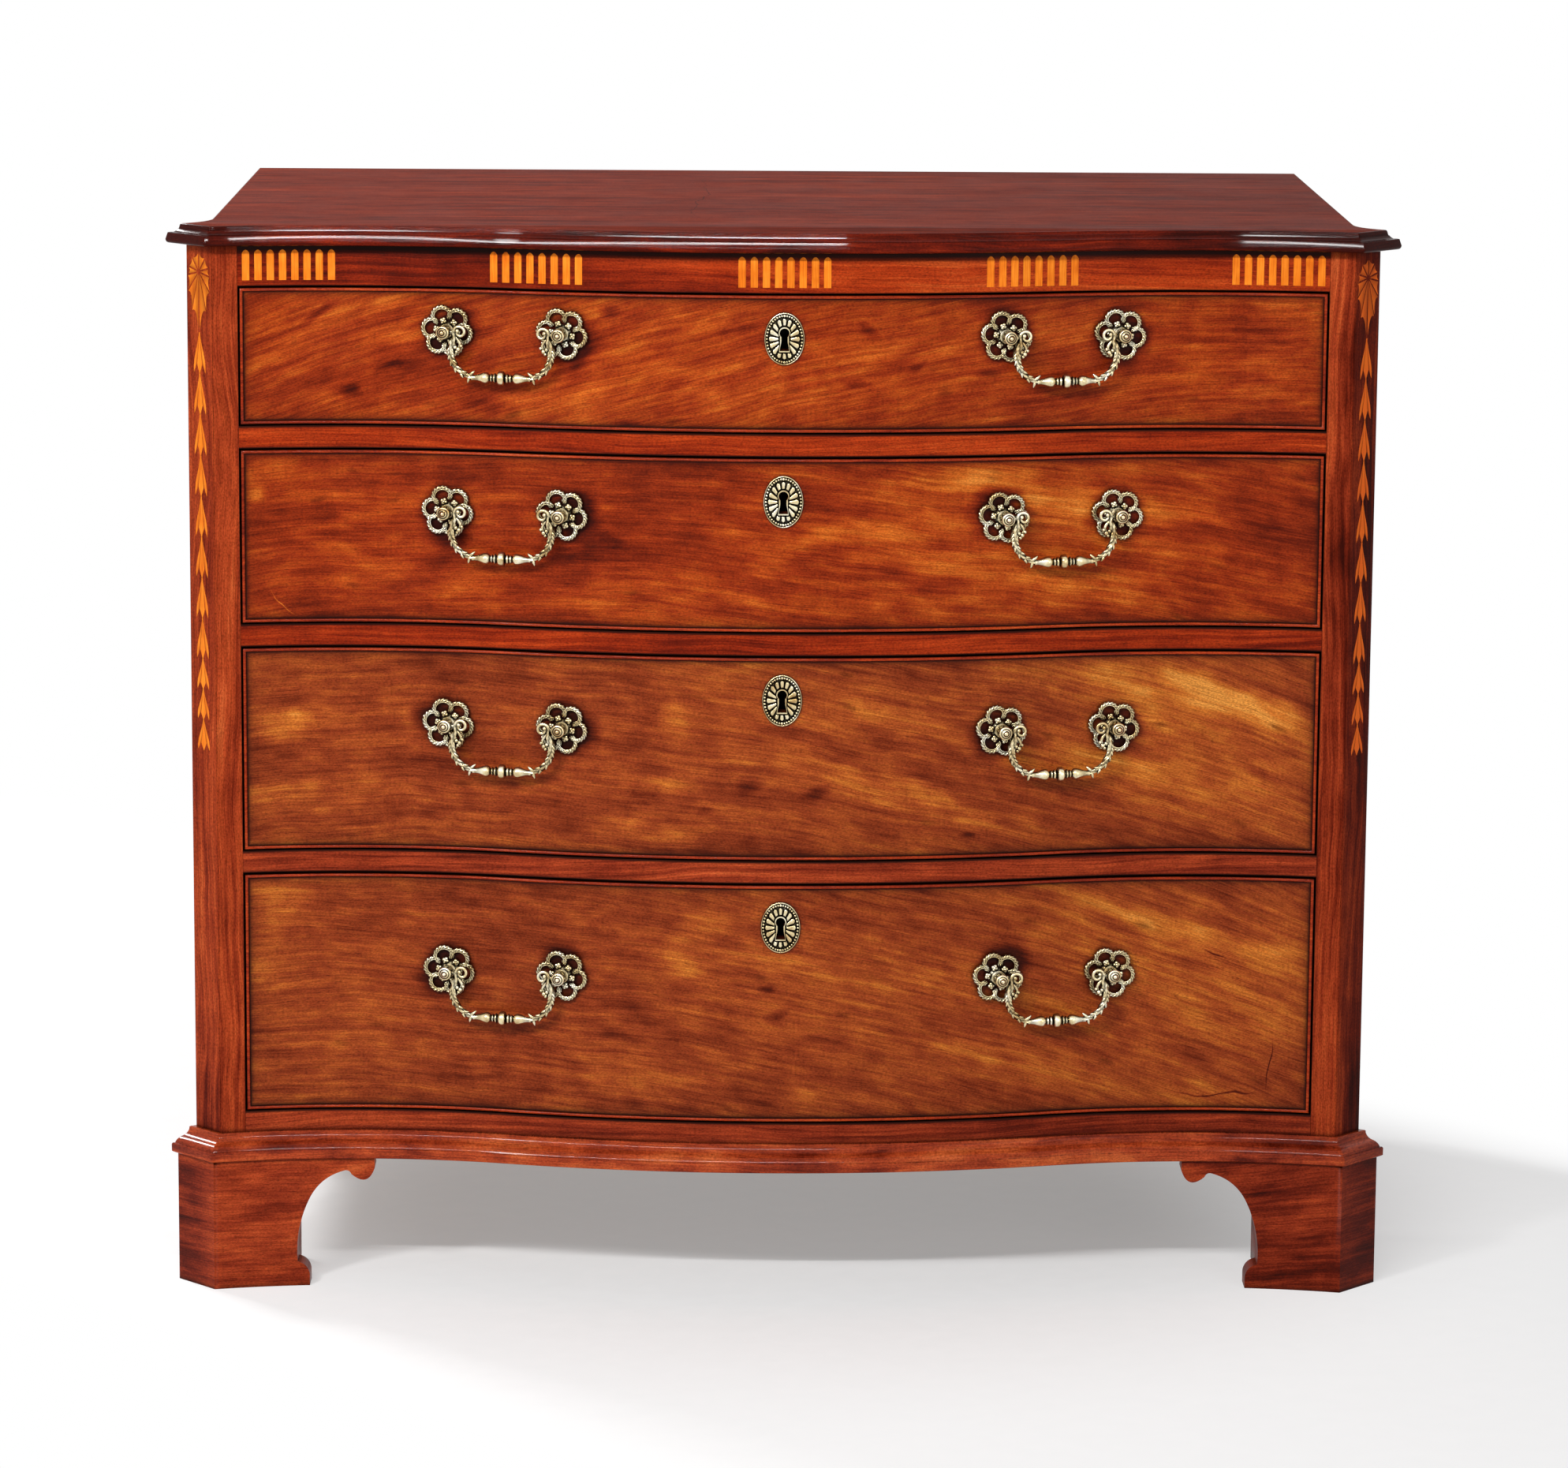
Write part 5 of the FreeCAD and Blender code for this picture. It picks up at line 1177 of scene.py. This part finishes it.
for number in DRAWERS:
    body = f"drawer_{number}"
    plate = Shape()
    escutcheon(plate, front_levels(number)[1] - KEY_DROP)
    piece(f"{body}_beaded_plate", plate, BRASS, body, [f"{body}_escutcheon"], 60)


# Handles: rosettes of six roped lobes, turned posts, and cast bails
LOBES = 6
LOBE_TURN = 110
LOBE_CENTRE = 13.6
# Half width, half length, thickness, lift and strands of each lobe's roped edge and of its inner rim
LOBE_RINGS = ((8.2, 7.7, 1.75, 2.6, 3), (6.7, 6.2, 0.5, 3.3, 0))
BUD_OUT = 9.3
BUD_LIFT = 3.3
BUD_SPREAD = 1.5
# Radius and reach forward along each turned form
POST_PROFILE = [(0.0, -28.8), (3.0, -28.8), (3.0, 3.9), (5.9, 4.0), (6.2, 4.9), (5.5, 5.7), (4.6, 6.6),
                (4.4, 8.0), (5.1, 9.2), (5.5, 11.0), (5.7, 14.0), (5.5, 17.0), (5.9, 18.2), (5.8, 19.2),
                (5.2, 19.9), (4.5, 20.1), (4.2, 19.4), (3.9, 20.2), (3.3, 20.9), (2.7, 21.2), (2.4, 20.6),
                (2.1, 21.4), (1.6, 22.3), (0.9, 22.9), (0.0, 23.0)]
NUT_PROFILE = [(3.0, -22.4), (6.0, -22.4), (6.0, -26.4), (3.0, -26.4)]
PLATE_PROFILE = [(0.0, 0.5), (7.6, 0.5), (8.0, 1.1), (7.5, 1.8), (6.9, 2.2), (6.4, 3.0), (5.0, 3.2),
                 (0.0, 3.3)]


def rosette(shape, place, mirror):
    """Six roped crescents with smooth inner rims and buds in their openings, round a dished plate."""
    put = lambda form: shape.add(*form, place=place)
    put(lathe(PLATE_PROFILE, 36))
    for k in range(LOBES):
        lean = math.radians(LOBE_TURN + 360 / LOBES * k)
        out = Vector((math.cos(lean), 0, math.sin(lean)))
        aside = Vector((-math.sin(lean), 0, math.cos(lean))) * mirror
        for wide, tall, thick, lift, strands in LOBE_RINGS:
            line = []
            for t in spread(0, 1, 84):
                turn = math.radians(135 - 260 * t)
                rise = Vector((0, -lift - 0.8 * math.sin(math.pi * t), 0))
                reach = LOBE_CENTRE + tall * math.cos(turn)
                line.append(out * reach + aside * wide * math.sin(turn) + rise)
            taper = lambda t, r=thick: r * (0.35 + 0.65 * max(math.sin(math.pi * t), 0.0) ** 0.6)
            put(tube(line, taper, 12, strands, 2.1, 0.18))
        bud = out * BUD_OUT + Vector((0, -BUD_LIFT, 0))
        for quarter in range(4):
            a = lean + math.radians(45 + 90 * quarter)
            lobe = bud + Vector((BUD_SPREAD * math.cos(a), 0, BUD_SPREAD * math.sin(a)))
            put(ball(lobe, (1.8, 1.7, 1.8), 9, 6))
        put(ball(bud + Vector((0, -1.2, 0)), (1.4, 1.2, 1.4), 9, 6))


def leaf(start, tip, width):
    """A small pointed leaf, as a bent tapering tube."""
    start, tip = Vector(start), Vector(tip)
    middle = (start + tip) / 2 + Vector((0, -0.6, 0))
    return tube(smooth_line([start, middle, tip], 5), lambda t: width * (1 - t) ** 0.6 + 0.25, 8)


# The arms keep clear of the posts' heads when a bail is raised
ARM_LINE = [(9.0, 0, 2.6), (9.4, 0, -2.5), (9.2, 0, -5.5), (7.9, 0, -9.5), (6.6, 0, -14.0), (6.6, 0, -18.0),
            (8.0, 0, -24.5), (13.6, 0, -32.6), (21.7, 0, -37.2), (25.5, 0, -38.5)]
# Which points along an arm bear a pair of leaves
LEAF_PLACES = range(36, 72, 6)
PIN_LINE = [Vector((x, 0, 0)) for x in (8.8, 0.0, -4.5)]
PIN_RADIUS = 2.0
SPRAY_LINE = [(9.2, 0, -3.0), (12.5, -0.4, -6.0), (14.5, -0.4, -10.0), (13.2, -0.4, -13.0)]
# Place across and up of each berry at the end of the spray, and its radius
BERRIES = ((13.2, -14.2, 2.3), (10.4, -12.6, 2.1), (15.6, -11.4, 1.7), (11.6, -16.4, 1.8))
SCROLL_X, SCROLL_Z = 14.4, 0.4
BAR_DROP = 38.5
# Place along the bar from its middle, and radius
BAR_PROFILE = [(26.0, 2.5), (23.5, 2.3), (20.5, 2.9), (17.5, 4.1), (15.0, 4.9), (13.0, 5.0), (11.6, 4.4),
               (10.6, 3.3), (9.9, 2.5), (9.2, 3.1), (8.7, 3.7), (8.0, 3.7), (7.5, 2.7), (6.9, 2.6),
               (6.5, 3.6), (5.9, 4.3), (5.1, 4.3), (4.6, 3.4), (3.6, 3.2), (3.1, 4.2), (2.6, 5.6),
               (1.9, 6.2), (0.8, 6.35)]


def bail(shape, place):
    """Two leafy arms that scroll over at the posts, and a turned bar between them."""
    half = BORING / 2
    arm = smooth_line(ARM_LINE, 9)
    swelling = lambda t: 2.2 + 0.9 * math.sin(math.pi * min(t * 1.15, 1.0))
    for side in (1, -1):
        at = lambda p, s=side: place(Vector((s * (half - p.x), p.y, p.z)))
        put = lambda form, at=at: shape.add(*form, place=at)
        put(tube(arm, swelling, 14, 4, 0.55, 0.13))
        put(tube(PIN_LINE, PIN_RADIUS, 14))
        scroll = []
        for t in spread(0, 1, 36):
            turn = math.radians(190 - 400 * t)
            reach = 5.6 - 3.4 * t
            across, up = SCROLL_X + reach * math.cos(turn), SCROLL_Z + reach * math.sin(turn)
            scroll.append(Vector((across, -0.4 - 0.8 * t, up)))
        put(tube(scroll, lambda t: 1.75 - 0.5 * t, 10))
        put(ball(scroll[-1], (2.1, 2.1, 2.1)))
        put(tube(smooth_line(SPRAY_LINE, 6), lambda t: 1.7 - 0.4 * t, 10))
        for x, z, size in BERRIES:
            put(ball((x, -0.8, z), (size, size, size)))
        for k in LEAF_PLACES:
            along = (arm[k + 2] - arm[k - 2]).normalized()
            for turn in (-1, 1):
                out = Vector((-along.z, 0, along.x)) * turn
                root = arm[k] + out * 1.2 + Vector((0, -1.4, 0))
                put(leaf(root, root + along * 3.6 + out * 1.9, 1.15))
        joint = arm[-8]
        put(leaf(joint, joint + Vector((-1.6, -0.6, -5.6)), 1.7))
        put(leaf(joint + Vector((0, 0, 1.0)), joint + Vector((4.6, -0.6, 5.0)), 1.7))
    profile = BAR_PROFILE + [(-x, radius) for x, radius in reversed(BAR_PROFILE)]
    points, faces, shades = lathe([(radius, x) for x, radius in profile], 24)
    # Painted shade where the bar turns away from the viewer's side
    shades = [max(shade, turned_away_shade(p.x / max(math.hypot(p.x, p.z), 0.1))) for p, shade in zip(points, shades)]
    shape.add([Vector((p.y, p.x, p.z - BAR_DROP)) for p in points], faces, shades, place)


def placed(x, y, z, turn):
    """Carries a form to its place, turned about the vertical."""
    move = Matrix.Translation(Vector((x, y, z))) @ Matrix.Rotation(turn, 4, "Z")
    return lambda p: move @ p


# How far the front faces aside at each post
FACING = {
    "in": math.asin(POSTS["in"][0] / SWELL_RADIUS),
    "out": math.asin((HOLLOW_X - POSTS["out"][0]) / HOLLOW_RADIUS),
}
for number in DRAWERS:
    body = f"drawer_{number}"
    level = handle_level(number)
    fittings = Shape()
    for word, side in SIDES.items():
        for spot, (x, y) in POSTS.items():
            flat = placed(side * x, y, level, side * FACING[spot])
            rosette(fittings, flat, side if spot == "in" else -side)
            post = placed(side * x, y, level, side * HANDLE_TURN)
            fittings.add(*lathe(POST_PROFILE, 28), place=post)
            fittings.add(*lathe(NUT_PROFILE, 6), place=post)
        hung = Shape()
        bail(hung, placed(side * HINGE_X, HINGE_Y, level, side * HANDLE_TURN))
        name = f"{body}_bail_{word}"
        piece(f"{body}_cast_bail_{word}", hung, BRASS, name, [name], 50)
    piece(f"{body}_cast_rosettes", fittings, BRASS, body, [f"{body}_rosettes"], 50)


# Boards that keep the model's own form
def dress(node, material, ease=0.6):
    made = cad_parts[node]
    made.data.materials.clear()
    made.data.materials.append(material)
    if ease:
        soften_edges(made, ease)


for word in SIDES:
    dress(f"{word}_side", WOODS["side"], 0.0)
    dress(f"rear_{word}_foot", WOODS["foot"])
dress("foot_blocks", WOODS["foot"])
dress("back_boards", BOARDS["z"], 1.0)
for node in ("carcass_bottom", "dustboards", "drawer_stops"):
    dress(node, BOARDS["x"])
for node in ("drawer_runners", "drawer_guides"):
    dress(node, BOARDS["y"])
for number in DRAWERS:
    dress(f"drawer_{number}_box", BOARDS["y"])
    for fitting in ("lock", "bolt"):
        dress(f"drawer_{number}_{fitting}", STEEL, 0.4)


# Stage: a pale floor, soft lamps and the camera
def floor_material():
    """White paper that keeps the chest's shadow nearby and runs out to white far away."""
    g = Graph("floor_paper", Specular_IOR_Level=0.0, Roughness=1.0)
    away = g.vector("LENGTH", g.vector("MULTIPLY", g.object, (1, 1, 0)))
    across = g.vector("DOT_PRODUCT", g.object, (0.7, 0.7, 0))
    beside = g.math("MAXIMUM", g.level(across, -0.42, -0.66), g.level(across, 0.46, 0.72))
    clear = g.math("MAXIMUM", beside, g.level(away, 1.2, 2.2))
    kept = g.level(away, 0.30, 0.72, 0.30, 0.62)
    share = g.math("MULTIPLY", g.seen(), g.math("MAXIMUM", clear, kept))
    speckle = g.noise(g.object, 2.0, 0.5, 40.0)
    g.finish(g.ramp(speckle, [(0.3, (0.93, 0.93, 0.93, 1)), (0.7, (0.96, 0.96, 0.96, 1))]))
    glow = g.add("ShaderNodeEmission", {"Color": WHITE, "Strength": 1.0}).outputs[0]
    both = g.add("ShaderNodeMixShader", {0: share, 1: g.surface.outputs[0], 2: glow}).outputs[0]
    g.wire(g.tree.nodes["Material Output"], {"Surface": both})
    return g.material


FLOOR_HALF = 40.0
sheet = bpy.data.meshes.new("floor")
corners = [(x * FLOOR_HALF, y * FLOOR_HALF, 0) for x, y in ((-1, -1), (1, -1), (1, 1), (-1, 1))]
sheet.from_pydata(corners, [], [(0, 1, 2, 3)])
sheet.materials.append(floor_material())
ground = bpy.data.objects.new("floor", sheet)
bpy.context.scene.collection.objects.link(ground)

world = bpy.data.worlds.new("studio")
bpy.context.scene.world = world
world.use_nodes = True
sky = Nodes(world.node_tree)
dim = sky.tree.nodes["Background"]
sky.wire(dim, {"Color": WHITE, "Strength": 0.15})
white = sky.add("ShaderNodeBackground", {"Color": WHITE, "Strength": 1.0})
choice = sky.add("ShaderNodeMixShader", {0: sky.seen(), 1: dim.outputs[0], 2: white.outputs[0]})
sky.wire(sky.tree.nodes["World Output"], {"Surface": choice.outputs[0]})


def lamp(name, place, target, size, power):
    """A soft box that faces a point."""
    light = bpy.data.lights.new(name, "AREA")
    light.shape = "RECTANGLE"
    light.size, light.size_y = size
    light.energy = power
    made = bpy.data.objects.new(name, light)
    made.location = place
    made.rotation_euler = (Vector(target) - Vector(place)).to_track_quat("-Z", "Y").to_euler()
    bpy.context.scene.collection.objects.link(made)


lamp("key", (-0.75, -2.8, 2.37), (-0.75, -0.3, 0.75), (2.3, 0.06), 68)
lamp("side", (-1.9, -2.7, 2.3), (0, -0.2, 0.6), (0.4, 0.4), 46)
lamp("fill", (2.4, -3.6, 1.5), (0, 0, 0.5), (2.0, 2.0), 17)
lamp("rear", (-2.6, 2.2, 3.0), (0.2, 0, 0), (0.9, 0.9), 130)

# Camera, fitted to the photograph's corners of the drawers, top, base and feet
PHOTO_WIDTH = 1988
FOCAL_PIXELS = 7085.8
CAMERA_PLACE = (-0.0604, -5.0462, 1.4097)
YAW, PITCH, ROLL = 0.01299, 0.17150, 0.00683
view = bpy.data.cameras.new("view")
view.sensor_width = 36.0
view.lens = 36.0 * FOCAL_PIXELS / PHOTO_WIDTH
view.shift_y = -0.06
ahead = Vector((math.sin(YAW) * math.cos(PITCH), math.cos(YAW) * math.cos(PITCH), -math.sin(PITCH)))
level_right = Vector((math.cos(YAW), -math.sin(YAW), 0))
level_up = level_right.cross(ahead)
right = level_right * math.cos(ROLL) + level_up * math.sin(ROLL)
up = level_up * math.cos(ROLL) - level_right * math.sin(ROLL)
camera = bpy.data.objects.new("camera", view)
camera.matrix_world = Matrix.Translation(CAMERA_PLACE) @ Matrix((right, up, -ahead)).transposed().to_4x4()
bpy.context.scene.collection.objects.link(camera)
bpy.context.scene.camera = camera
bpy.context.scene.view_settings.view_transform = "Standard"
